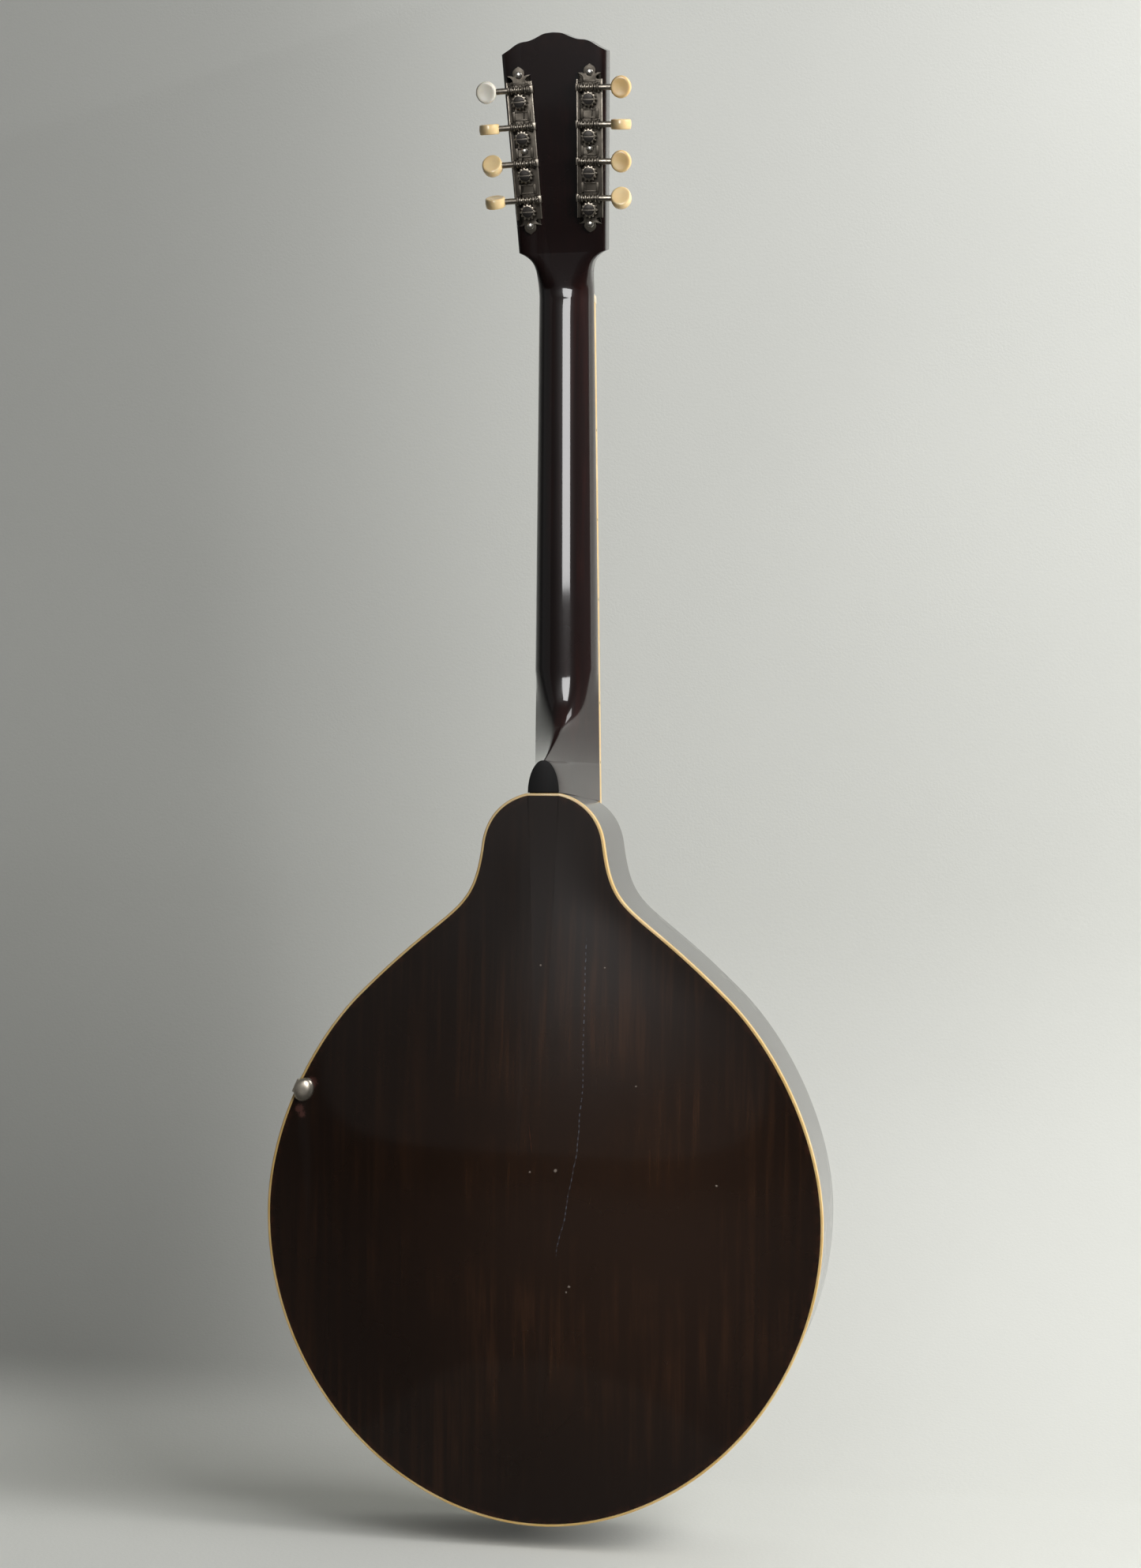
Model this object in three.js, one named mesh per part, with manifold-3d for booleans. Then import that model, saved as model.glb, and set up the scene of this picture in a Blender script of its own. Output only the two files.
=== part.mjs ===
import * as THREE from 'three';
import { mergeVertices } from 'three/addons/utils/BufferGeometryUtils.js';
import Module from 'manifold-3d';

const wasm = await Module();
wasm.setup();

// A mandocello: eight strings in four courses, carved top and back, worm tuners.
// Millimetres. The neck points up (+Z), the soundboard faces -Y and the treble side is +X.
// Heights are counted from the foot of the body, depths from the middle of its rim.

// Fits
const seat = 0.3; // gap kept between two pieces that are glued, screwed or laid together
const running = 0.3; // radial clearance of a shaft in its bearing
const overrun = 3; // how far a cutting form runs past what it cuts
const weldTolerance = 0.0005;

// Body
const bodyWidth = 358.8;
const bodyLength = 464.4;
const rimDepth = 79.4;
const ribThickness = 2.2;
const topArch = 16;
const backArch = 12;
const plateEdge = 5;
const plateCrown = 6;
const plateBorder = 8;
const bindingWidth = 2.6;
const bindingDepth = 5;
const liningWidth = 5.5;
const liningDepth = 14;
const liningToe = 4;
const neckBlockLength = 46;
const endBlockWidth = 64;
const endBlockLength = 18;
const braceGap = 24;
const braceWidth = 8;
const braceDepth = 13;

// Outline of the body: widths as shares of half the body's width, heights as shares of the height
// below or above the widest line.
const widestShare = 0.418;
const bottomPullShare = 0.518;
const belowWidestShare = 0.557;
const aboveWidestShare = 0.203;
const turnShares = [0.669, 0.521];
const turnBeforeShares = [0.165, 0.11];
const turnAfterShares = [0.347, 0.23];
const shoulderShares = [0.221, 0.88];
const shoulderBeforeShares = [0.035, 0.176];
const shoulderAfterShares = [0.021, 0.107];
const archPeakShare = 0.45;
const spineLowShare = 0.27;
const spineHighShare = 0.93;
const plateRingShares = [0, 0.06, 0.2, 0.38, 0.62, 1];
const outlineSteps = 7;

// Sound hole
const soundHoleGap = 22.33;
const soundHoleWidth = 76;
const soundHoleLength = 56;
const soundHoleRingWidth = 3.2;
const soundHoleRingProud = 0.4;

// Neck
const scaleLength = 628.65;
const bodyFret = 13;
const fretCount = 20;
const jointSetback = 5.4;
const jointDepth = 46.3;
const neckPitch = THREE.MathUtils.degToRad(2.6);
const nutWidth = 36.6;
const jointWidth = 44.2;
const neckThicknessNut = 15.2;
const neckThicknessHeel = 19;
const heelCapWidth = 20;
const heelCapLength = 20.6;
const heelCapThickness = 2.6;
const heelCapTipWidth = 1.6;
const heelSweep = 62;
const tenonWidth = 18;
const tenonToeWidth = 26;
const tenonLength = 24;
const tongueWidth = 34;
const heelCapArchShare = 0.8;
const heelCapBowShare = 1.6;
const heelCapLengthShares = [0, 0.3, 0.56, 0.78, 0.92, 1];
const heelSweepShares = [0.03, 0.09, 0.17, 0.3, 0.48, 0.72, 1];
const neckLengthShares = [0.34, 0.68, 0.95];
const neckRoundness = 2.3;
const headSquareness = 12;
const neckColumns = 14;

// Fretboard and nut
const boardThickness = 6;
const boardBindingWidth = 1.6;
const boardOverhang = 8;
const tongueSetback = 10;
const fretHeight = 1;
const fretWidth = 2.3;
const fretCrownShare = 0.45;
const nutLength = 5;
const nutRise = 1.4;
const slotDepthShare = 0.5;

// Headstock
const headTilt = THREE.MathUtils.degToRad(16);
const headLength = 167.3;
const headShoulder = 28.6;
const headCorner = 154.6;
const headShoulderWidth = 58.2;
const headTopWidth = 69.2;
const headThickness = 12.6;
const veneerThickness = 1.6;
const shoulderFlareShare = 6;
const shoulderLengthShares = [0, 0.3, 0.55, 0.74, 0.88, 1];
const headLengthShares = [0.5, 1];
const headCrestShares = [
  [0, 1], [0.17, 0.95], [0.33, 0.76], [0.46, 0.63], [0.6, 0.58], [0.71, 0.47], [0.84, 0.24], [1, 0],
];

// Tuners
const tunersPerSide = 4;
const tunerPitch = 23.2;
const tunerHeight = 93.9;
const tunerReach = 21.6;
const tunerSplay = THREE.MathUtils.degToRad(2);
const tunerPlateWidth = 17;
const tunerPlateLength = 87.3;
const tunerPlateThickness = 1;
const tunerTipLength = 9.6;
const plateScrewSpan = 95.5;
const plateScrewDiameter = 4.8;
const plateScrewRise = 1.3;
const earThickness = 1.5;
const earWidth = 6.4;
const earHeight = 8;
const earSpan = 12;
const gearTeeth = 12;
const gearTipDiameter = 10.9;
const gearRootDiameter = 8;
const gearThickness = 2.8;
const gearPitchDiameter = 9.5;
const gearCollarDiameter = 7.7;
const gearCollarRise = 0.7;
const gearScrewDiameter = 6.4;
const gearScrewDip = 0.3;
const screwSlotWidth = 0.9;
const screwSlotDepth = 0.7;
const wormCentres = 7.4;
const wormAxisHeight = 4.9;
const wormDiameter = 6.2;
const wormRootDiameter = 3.2;
const wormTurns = 2;
const wormSteps = 8;
const wormShaftDiameter = 3.9;
const wormInnerEnd = 0.8;
const wormCollarDiameter = 5.4;
const wormCollarLength = 0.9;
const postDiameter = 6.2;
const postWaistDiameter = 4.8;
const postRise = 15;
const postCapLength = 1.5;
const postTaper = 0.6;
const buttonWidth = 13.5;
const buttonLength = 14.3;
const buttonThickness = 6.6;
const buttonDish = 0.7;
const buttonReach = 21.1;
const buttonSocket = 5;
const buttonRimShare = 0.8;
const buttonEdgeShare = 0.5;
const buttonTurns = { treble: [0, 90, 35, 78], bass: [0, 90, 0, 32] };
const toothShares = [[-0.5, 0], [-0.1, 1], [0.1, 1]];
const threadShares = [1, 0.86, 0.2, 0, 0, 0, 0.2, 0.86];
const fleurShares = [
  [0.62, 0], [0.5, 0.1], [0.6, 0.24], [0.9, 0.4], [0.62, 0.42], [0.44, 0.36], [0.47, 0.56], [0.36, 0.78],
];

// Strings, from the bass side: four courses of two
const stringDiameters = [1.9, 1.2, 0.86, 0.56];
const nutSpread = 29;
const nutPair = 3;
const bridgeSpread = 47;
const bridgePair = 4;
const tailSpread = 52;
const tailPair = 5;
const nutAction = 0.5;
const octaveAction = 2.6;
const windingTurns = [2, 2, 2.5, 3];
const windingGap = 0.75;
const windingSteps = 12;
const windingRises = [10, 7, 14, 8.6];
const stringSides = 5;

// Bridge
const bridgeWidth = 116;
const bridgeLength = 13;
const bridgeSaddleWidth = 58;
const bridgeWingRise = 6;
const bridgeArchWidth = 44;
const bridgeArchRise = 5;
const bridgeBedding = 3;
const bridgeCrestLength = 2;
const bridgeSlopeDepth = 10;

// Tailpiece
const tailBlockShare = 0.528;
const tailBlockWidth = 72;
const tailBlockLength = 13;
const tailBlockDepth = 9;
const tailBlockRise = 11;
const tailWireDiameter = 3;
const tailFootWidth = 24;
const tailBracketWidth = 20;
const tailBracketThickness = 1.5;
const tailBracketReach = 14;
const tailHingeHeight = 9;
const tailHingeWall = 1.6;

// End pin
const pinHeadDiameter = 13;
const pinHeadLength = 5;
const pinNeckDiameter = 8;
const pinNeckLength = 6;
const pinShankDiameter = 7;
const pinTipDiameter = 5;
const pinShankLength = 22;

// Pickguard and its side clamp
const guardThickness = 2;
const guardRise = 17.6;
const guardTopGap = 71;
const guardFootGap = 11.2;
const guardInnerWidth = 30;
const guardOuterWidth = 68;
const guardShares = [[0.04, 0.93], [0.35, 0.76], [0.75, 0.5], [1, 0.22], [0.9, 0.05], [0.6, 0]];
const clampHeightShare = 0.452;
const clampWidth = 9;
const clampThickness = 1.4;
const clampFootReach = 9;
const clampLipReach = 8;
const clampScrewShare = 0.8;
const clampPadWidth = 13;
const clampPadLength = 16;
const clampPadRise = 3;
const clampScrewDiameter = 3;
const clampScrewHeadDiameter = 6;
const clampScrewHeadRise = 1.6;

// Where the neck hangs in a hanger's yoke, below the shoulders of the headstock
const hangerShare = 0.3;

// Values worked out from the sizes above
const halfBody = bodyWidth / 2;
const rimHalf = rimDepth / 2;
const widestHeight = bodyLength * widestShare;
const aboveWidest = bodyLength - widestHeight;
const plateInset = bindingWidth + seat;
const ribInner = ribThickness + seat;
const ribHalf = rimHalf - bindingDepth - seat;
const innerHalf = rimHalf - plateEdge - seat;
const liningInner = ribInner + liningWidth;
const jointHeight = bodyLength - jointSetback;
const nutHeight = jointHeight + scaleLength * (1 - 2 ** (-bodyFret / 12));
const headStart = nutHeight + nutLength;
const boardEnd = nutHeight - scaleLength * (1 - 2 ** (-fretCount / 12)) - boardOverhang;
const soundHoleHeight = boardEnd - soundHoleGap - soundHoleLength / 2;
const braceHeight = soundHoleHeight - soundHoleLength / 2 - braceGap;
const bridgeHeight = nutHeight - scaleLength;
const tailBlockHeight = THREE.MathUtils.lerp(tailHingeHeight, bridgeHeight, tailBlockShare);
const guardFoot = bridgeHeight + bridgeLength / 2 + guardFootGap;
const guardTop = jointHeight - guardTopGap;
const clampHeight = THREE.MathUtils.lerp(guardFoot, guardTop, clampHeightShare);
const heelBase = bodyLength + seat;
const heelTip = heelBase + heelCapLength;
const heelDepth = rimHalf - heelCapThickness - seat;
const tunerPlateBack = seat;
const veneerFace = veneerThickness + seat;

// Mesh tools

function signedVolume(points, faces) {
  let volume = 0;
  const cross = new THREE.Vector3();
  for (const [a, b, c] of faces) {
    volume += cross.crossVectors(points[b], points[c]).dot(points[a]);
  }
  return volume;
}

// Welds the corners, drops triangles that have shrunk to nothing and turns the faces outwards.
function closedBody(points, faces) {
  const outward = signedVolume(points, faces) > 0;
  const geometry = new THREE.BufferGeometry();
  const flat = points.flatMap((point) => point.toArray());
  geometry.setAttribute('position', new THREE.Float32BufferAttribute(flat, 3));
  geometry.setIndex(faces.flatMap(([a, b, c]) => (outward ? [a, b, c] : [a, c, b])));
  const merged = mergeVertices(geometry, weldTolerance);
  const index = merged.getIndex().array;
  const kept = [];
  for (let i = 0; i < index.length; i += 3) {
    const [a, b, c] = [index[i], index[i + 1], index[i + 2]];
    if (a !== b && b !== c && c !== a) kept.push(a, b, c);
  }
  merged.setIndex(kept);
  return merged;
}

function rebuilt(geometry) {
  const position = geometry.getAttribute('position');
  const points = [];
  for (let i = 0; i < position.count; i += 1) {
    points.push(new THREE.Vector3().fromBufferAttribute(position, i));
  }
  const index = geometry.getIndex();
  const count = index ? index.count : position.count;
  const corner = (i) => (index ? index.getX(i) : i);
  const faces = [];
  for (let i = 0; i < count; i += 3) {
    faces.push([corner(i), corner(i + 1), corner(i + 2)]);
  }
  return closedBody(points, faces);
}

function toSolid(geometry) {
  const clean = rebuilt(geometry);
  const vertProperties = Float32Array.from(clean.getAttribute('position').array);
  const triVerts = Uint32Array.from(clean.getIndex().array);
  return new wasm.Manifold(new wasm.Mesh({ numProp: 3, vertProperties, triVerts }));
}

function toGeometry(solid) {
  const mesh = solid.getMesh();
  const geometry = new THREE.BufferGeometry();
  geometry.setAttribute('position', new THREE.Float32BufferAttribute(mesh.vertProperties, mesh.numProp));
  geometry.setIndex(Array.from(mesh.triVerts));
  return geometry;
}

function joined(first, ...others) {
  return toGeometry(others.reduce((solid, other) => solid.add(toSolid(other)), toSolid(first)));
}

function common(first, second) {
  return toGeometry(toSolid(first).intersect(toSolid(second)));
}

function cut(body, ...tools) {
  return toGeometry(tools.reduce((solid, tool) => solid.subtract(toSolid(tool)), toSolid(body)));
}

// Rings of equal counts joined in order, each end closed by a fan about its middle.
function loft(rings) {
  const count = rings[0].length;
  const points = rings.flat();
  const faces = [];
  for (let row = 0; row + 1 < rings.length; row += 1) {
    for (let i = 0; i < count; i += 1) {
      const next = (i + 1) % count;
      const a = row * count + i;
      const b = row * count + next;
      faces.push([a, b, b + count], [a, b + count, a + count]);
    }
  }
  const middle = (ring) => ring.reduce((sum, p) => sum.add(p), new THREE.Vector3()).divideScalar(count);
  const last = (rings.length - 1) * count;
  points.push(middle(rings[0]), middle(rings[rings.length - 1]));
  for (let i = 0; i < count; i += 1) {
    const next = (i + 1) % count;
    faces.push([next, i, points.length - 2], [last + i, last + next, points.length - 1]);
  }
  return closedBody(points, faces);
}

// Two sheets with the same rows and columns, joined all round their borders.
function pillow(front, back) {
  const rows = front.length;
  const columns = front[0].length;
  const points = [...front.flat(), ...back.flat()];
  const at = (sheet, row, column) => (sheet * rows + row) * columns + column;
  const faces = [];
  const quad = (a, b, c, d) => faces.push([a, b, c], [a, c, d]);
  for (let i = 0; i + 1 < rows; i += 1) {
    for (let j = 0; j + 1 < columns; j += 1) {
      quad(at(0, i, j), at(0, i + 1, j), at(0, i + 1, j + 1), at(0, i, j + 1));
      quad(at(1, i, j), at(1, i, j + 1), at(1, i + 1, j + 1), at(1, i + 1, j));
    }
    const j = columns - 1;
    quad(at(0, i + 1, 0), at(0, i, 0), at(1, i, 0), at(1, i + 1, 0));
    quad(at(0, i, j), at(0, i + 1, j), at(1, i + 1, j), at(1, i, j));
  }
  for (let j = 0; j + 1 < columns; j += 1) {
    const i = rows - 1;
    quad(at(0, i, j + 1), at(0, i, j), at(1, i, j), at(1, i, j + 1));
    quad(at(0, 0, j), at(0, 0, j + 1), at(1, 0, j + 1), at(1, 0, j));
  }
  return closedBody(points, faces);
}

// A plan shape, drawn as (x, z), raised between two depths.
function slab(shape, nearY, farY, curveSegments = 12) {
  const geometry = new THREE.ExtrudeGeometry(shape, {
    depth: farY - nearY, bevelEnabled: false, curveSegments,
  });
  return rebuilt(geometry.rotateX(Math.PI / 2).translate(0, farY, 0));
}

const flipped = ([a, b, c]) => [a, c, b];

// A side view, drawn as [y, z] corners, carried across the middle by half its width on each side.
function crossBar(corners, halfWidth) {
  const ring = (x) => corners.map(([y, z]) => new THREE.Vector3(x, y, z));
  const shape = new THREE.Shape(corners.map(([y, z]) => new THREE.Vector2(y, z)));
  const faces = THREE.ShapeUtils.triangulateShape(shape.getPoints(), []);
  const count = corners.length;
  const sides = corners.flatMap((corner, i) => {
    const next = (i + 1) % count;
    return [[i, next, next + count], [i, next + count, i + count]];
  });
  const low = faces.map(([a, b, c]) => [c, b, a]);
  const high = faces.map(([a, b, c]) => [a + count, b + count, c + count]);
  if (THREE.ShapeUtils.isClockWise(shape.getPoints())) {
    return closedBody([...ring(-halfWidth), ...ring(halfWidth)], [...low, ...high, ...sides.map(flipped)]);
  }
  return closedBody([...ring(-halfWidth), ...ring(halfWidth)], [...low, ...high, ...sides]);
}

// A round bar or hole between two points.
function rod(from, to, radius, sides = 10) {
  const axis = to.clone().sub(from);
  const geometry = new THREE.CylinderGeometry(radius, radius, axis.length(), sides);
  const turn = new THREE.Quaternion().setFromUnitVectors(
    new THREE.Vector3(0, 1, 0), axis.clone().normalize(),
  );
  const centre = from.clone().add(to).divideScalar(2);
  return rebuilt(geometry.applyQuaternion(turn).translate(...centre.toArray()));
}

function block(x0, x1, y0, y1, z0, z1) {
  const geometry = new THREE.BoxGeometry(x1 - x0, y1 - y0, z1 - z0);
  return rebuilt(geometry.translate((x0 + x1) / 2, (y0 + y1) / 2, (z0 + z1) / 2));
}

function turned(profile, segments) {
  const points = profile.map(([radius, height]) => new THREE.Vector2(radius, height));
  return rebuilt(new THREE.LatheGeometry(points, segments));
}

// A round tube along a route, carried without twist.
function tube(route, radius, sides) {
  const side = new THREE.Vector3();
  const up = new THREE.Vector3(0, 1, 0);
  return loft(route.map((point, i) => {
    const before = route[Math.max(i - 1, 0)];
    const after = route[Math.min(i + 1, route.length - 1)];
    const along = after.clone().sub(before).normalize();
    if (i === 0) side.crossVectors(along, up).normalize();
    side.addScaledVector(along, -side.dot(along)).normalize();
    const other = new THREE.Vector3().crossVectors(along, side);
    return circle(point, side, other, radius, sides);
  }));
}

function circle(centre, side, other, radius, count) {
  return Array.from({ length: count }, (unused, k) => {
    const angle = (2 * Math.PI * k) / count;
    return centre.clone()
      .addScaledVector(side, radius * Math.cos(angle))
      .addScaledVector(other, radius * Math.sin(angle));
  });
}

// A flat strip of even thickness that follows a bent side view, given as [a, b] corners.
function stripCorners(path, thickness) {
  const points = path.map(([a, b]) => new THREE.Vector2(a, b));
  const normalAt = (i) => {
    const along = points[i + 1].clone().sub(points[i]).normalize();
    return new THREE.Vector2(-along.y, along.x);
  };
  const offset = (distance) => points.map((point, i) => {
    const first = normalAt(Math.max(i - 1, 0));
    const second = normalAt(Math.min(i, points.length - 2));
    const bisector = first.clone().add(second).normalize();
    return point.clone().addScaledVector(bisector, distance / bisector.dot(first));
  });
  return [...offset(-thickness / 2), ...offset(thickness / 2).reverse()].map((p) => [p.x, p.y]);
}

// Body outline

function outlineCurves() {
  const wide = (share) => share * halfBody;
  const high = (share) => widestHeight + share * aboveWidest;
  const start = new THREE.Vector2(0, 0);
  const widest = new THREE.Vector2(halfBody, widestHeight);
  const turn = new THREE.Vector2(wide(turnShares[0]), high(turnShares[1]));
  const shoulder = new THREE.Vector2(wide(shoulderShares[0]), high(shoulderShares[1]));
  const end = new THREE.Vector2(heelCapWidth / 2, bodyLength);
  const shifted = (point, [across, along], sign) => new THREE.Vector2(
    point.x + sign * wide(across), point.y - sign * along * aboveWidest,
  );
  return [
    new THREE.CubicBezierCurve(
      start, new THREE.Vector2(wide(bottomPullShare), 0),
      new THREE.Vector2(halfBody, widestHeight * (1 - belowWidestShare)), widest,
    ),
    new THREE.CubicBezierCurve(
      widest, new THREE.Vector2(halfBody, high(aboveWidestShare)), shifted(turn, turnBeforeShares, 1), turn,
    ),
    new THREE.CubicBezierCurve(
      turn, shifted(turn, turnAfterShares, -1), shifted(shoulder, shoulderBeforeShares, 1), shoulder,
    ),
    new THREE.CubicBezierCurve(
      shoulder, shifted(shoulder, shoulderAfterShares, -1),
      new THREE.Vector2(heelCapWidth / 2, bodyLength), end,
    ),
  ];
}

// The right half of the outline, from the foot to the top, moved inwards by the inset.
function halfOutline(inset, steps = outlineSteps) {
  const points = outlineCurves().flatMap((curve, i) => curve.getPoints(steps).slice(i === 0 ? 0 : 1));
  const last = points.length - 1;
  return points.map((point, i) => {
    if (i === 0) return new THREE.Vector2(0, point.y + inset);
    if (i === last) return new THREE.Vector2(point.x, point.y - inset);
    const along = points[i + 1].clone().sub(points[i - 1]).normalize();
    return new THREE.Vector2(point.x - along.y * inset, point.y + along.x * inset);
  });
}

function fullOutline(inset) {
  const right = halfOutline(inset);
  const left = right.slice(1).reverse().map((point) => new THREE.Vector2(-point.x, point.y));
  return [...right, ...left];
}

// The outline below its widest line.
function lowerOutline(inset) {
  const right = halfOutline(inset).slice(0, outlineSteps + 1);
  return [...right, ...mirrored(right.slice(1)).reverse()];
}

function halfWidthAt(height, inset = 0) {
  const points = halfOutline(inset);
  const i = points.findIndex((point, k) => k > 0 && point.y >= height);
  if (i < 0) return 0;
  const [low, high] = [points[i - 1], points[i]];
  return low.x + ((high.x - low.x) * (height - low.y)) / (high.y - low.y);
}

// Carved plates

const fineOutline = halfOutline(0, outlineSteps * 4);

function halfWidthOn(height) {
  const i = fineOutline.findIndex((point, k) => k > 0 && point.y >= height);
  if (i < 0) return fineOutline[fineOutline.length - 1].x;
  const [low, high] = [fineOutline[i - 1], fineOutline[i]];
  return low.x + ((high.x - low.x) * (height - low.y)) / (high.y - low.y);
}

// How much of its full arch a plate has at a place, from 0 at the border to 1 at the peak.
function archShare(x, z) {
  const peak = bodyLength * archPeakShare;
  const acrossReach = Math.max(halfWidthOn(z) - plateBorder, plateBorder);
  const across = Math.min(Math.abs(x) / acrossReach, 1);
  const low = Math.min(Math.max((z - plateBorder) / (peak - plateBorder), 0), 1);
  const high = Math.min(Math.max((z - peak) / (bodyLength - plateBorder - peak), 0), 1);
  const along = z < peak ? (1 - Math.cos(Math.PI * low)) / 2 : (1 + Math.cos(Math.PI * high)) / 2;
  return along * (1 + Math.cos(Math.PI * across)) / 2;
}

const plateOuter = (arch, x, z) => rimHalf + arch * archShare(x, z);
const plateInner = (arch, x, z) => rimHalf - plateEdge
  + (arch - (plateCrown - plateEdge)) * archShare(x, z);

// The side is 1 for the back and -1 for the top.
function carvedPlate(side, arch) {
  const rim = fullOutline(plateInset);
  const [low, high] = [bodyLength * spineLowShare, bodyLength * spineHighShare];
  const sheet = (depthAt) => rim.map((point) => {
    const spine = new THREE.Vector2(0, Math.min(Math.max(point.y, low), high));
    return plateRingShares.map((share) => {
      const x = point.x * (1 - share);
      const z = point.y + (spine.y - point.y) * share;
      return new THREE.Vector3(x, side * depthAt(arch, x, z), z);
    });
  });
  const outer = sheet(plateOuter);
  const inner = sheet(plateInner);
  const rows = rim.length;
  const columns = plateRingShares.length;
  const points = [...outer.flat(), ...inner.flat()];
  const at = (layer, row, column) => (layer * rows + (row % rows)) * columns + column;
  const faces = [];
  const quad = (a, b, c, d) => faces.push([a, b, c], [a, c, d]);
  for (let i = 0; i < rows; i += 1) {
    for (let j = 0; j + 1 < columns; j += 1) {
      quad(at(0, i, j), at(0, i + 1, j), at(0, i + 1, j + 1), at(0, i, j + 1));
      quad(at(1, i, j), at(1, i, j + 1), at(1, i + 1, j + 1), at(1, i + 1, j));
    }
    quad(at(0, i + 1, 0), at(0, i, 0), at(1, i, 0), at(1, i + 1, 0));
  }
  return closedBody(points, faces);
}

function ellipse(width, length) {
  const shape = new THREE.Shape();
  shape.absellipse(0, soundHoleHeight, width / 2, length / 2, 0, 2 * Math.PI);
  return shape;
}

const soundHoleCut = slab(
  ellipse(soundHoleWidth, soundHoleLength), -rimHalf - topArch - overrun, -rimHalf + plateEdge + overrun,
);

function topPlate() {
  return cut(carvedPlate(-1, topArch), soundHoleCut);
}

// The ring lines the wall of the sound hole and follows the arch a little above it.
function soundHoleRing(sides = 24) {
  const rings = Array.from({ length: sides + 1 }, (unused, i) => {
    const angle = (2 * Math.PI * (i % sides)) / sides;
    const at = (inset, depth) => {
      const x = (soundHoleWidth / 2 - inset) * Math.cos(angle);
      const z = soundHoleHeight + (soundHoleLength / 2 - inset) * Math.sin(angle);
      return new THREE.Vector3(x, depth(x, z), z);
    };
    const face = (x, z) => -plateOuter(topArch, x, z) - soundHoleRingProud;
    const under = (x, z) => -plateInner(topArch, x, z);
    const outer = seat;
    const inner = seat + soundHoleRingWidth;
    return [at(outer, face), at(inner, face), at(inner, under), at(outer, under)];
  });
  const points = rings.flat();
  const faces = [];
  for (let i = 0; i < sides; i += 1) {
    for (let k = 0; k < 4; k += 1) {
      const [a, b] = [i * 4 + k, i * 4 + ((k + 1) % 4)];
      faces.push([a, b, b + 4], [a, b + 4, a + 4]);
    }
  }
  return closedBody(points, faces);
}

// Ribs, linings, bindings and blocks

function mirrored(points) {
  return points.map((point) => new THREE.Vector2(-point.x, point.y));
}

function tenonHalfAt(height) {
  const flare = (tenonToeWidth - tenonWidth) / 2;
  return tenonWidth / 2 + (flare * (bodyLength - height)) / tenonLength;
}

function rib(side) {
  const closeTo = (points, tenonHalf) => {
    const first = new THREE.Vector2(seat / 2, points[0].y);
    const last = new THREE.Vector2(tenonHalf, points[points.length - 1].y);
    return [first, ...points.slice(1, -1), last];
  };
  const passage = tenonHalfAt(bodyLength - ribThickness) + seat;
  const outer = closeTo(halfOutline(0), passage);
  const inner = closeTo(halfOutline(ribThickness), passage);
  const loop = [...outer, ...inner.reverse()];
  const shape = new THREE.Shape(side > 0 ? loop : mirrored(loop));
  return cut(slab(shape, -ribHalf, ribHalf), pinHole());
}

function bindingRing(side) {
  const shape = new THREE.Shape(fullOutline(0));
  shape.holes.push(new THREE.Path(fullOutline(bindingWidth)));
  const near = rimHalf - bindingDepth;
  return side > 0 ? slab(shape, near, rimHalf) : slab(shape, -rimHalf, -near);
}

// One strip from the neck block round the foot of the body and back to the neck block.
function lining(side) {
  const stop = bodyLength - ribInner - neckBlockLength - seat;
  const clipped = (inset) => {
    const points = halfOutline(inset);
    const kept = points.filter((point) => point.y < stop);
    return [...kept, new THREE.Vector2(halfWidthAt(stop, inset), stop)];
  };
  const outer = clipped(ribInner);
  const inner = clipped(liningInner);
  const count = Math.min(outer.length, inner.length);
  const pick = (points) => [...points.slice(0, count - 1), points[points.length - 1]];
  const both = (points) => [...mirrored(pick(points).slice(1)).reverse(), ...pick(points)];
  const [wall, lip] = [both(outer), both(inner)];
  const face = side * (rimHalf - plateEdge - seat);
  const rings = wall.map((point, i) => [
    new THREE.Vector3(point.x, face, point.y),
    new THREE.Vector3(lip[i].x, face, lip[i].y),
    new THREE.Vector3(lip[i].x, face - side * liningToe, lip[i].y),
    new THREE.Vector3(point.x, face - side * liningDepth, point.y),
  ]);
  return loft(rings);
}

// The tenon's mouth runs a little way into the heel.
function tenonShape(clearance) {
  const mouth = bodyLength + overrun;
  const toe = bodyLength - tenonLength - clearance;
  const halfAt = (height) => tenonHalfAt(height) + clearance;
  const shape = new THREE.Shape();
  shape.moveTo(-halfAt(mouth), mouth);
  shape.lineTo(-halfAt(toe), toe);
  shape.lineTo(halfAt(toe), toe);
  shape.lineTo(halfAt(mouth), mouth);
  return shape;
}

function neckBlock() {
  const floor = bodyLength - ribInner - neckBlockLength;
  const body = common(
    slab(new THREE.Shape(fullOutline(ribInner)), -innerHalf, innerHalf),
    block(-halfBody, halfBody, -rimHalf, rimHalf, floor, bodyLength),
  );
  return cut(body, slab(tenonShape(seat), -innerHalf - overrun, innerHalf + overrun));
}

function pinHole() {
  const radius = pinShankDiameter / 2 + seat;
  return rod(new THREE.Vector3(0, 0, -overrun), new THREE.Vector3(0, 0, endBlockLength + overrun), radius, 12);
}

// The middle of the block meets the ribs. Its two outer parts stop short of the linings.
function endBlock() {
  const half = endBlockWidth / 2;
  const middle = innerHalf - liningDepth - seat;
  const reach = block(-half, half, -rimHalf, rimHalf, 0, endBlockLength);
  const wide = slab(new THREE.Shape(lowerOutline(ribInner)), -middle, middle);
  const deep = slab(new THREE.Shape(lowerOutline(liningInner + seat)), -innerHalf, innerHalf);
  return cut(common(joined(wide, deep), reach), pinHole());
}

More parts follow.
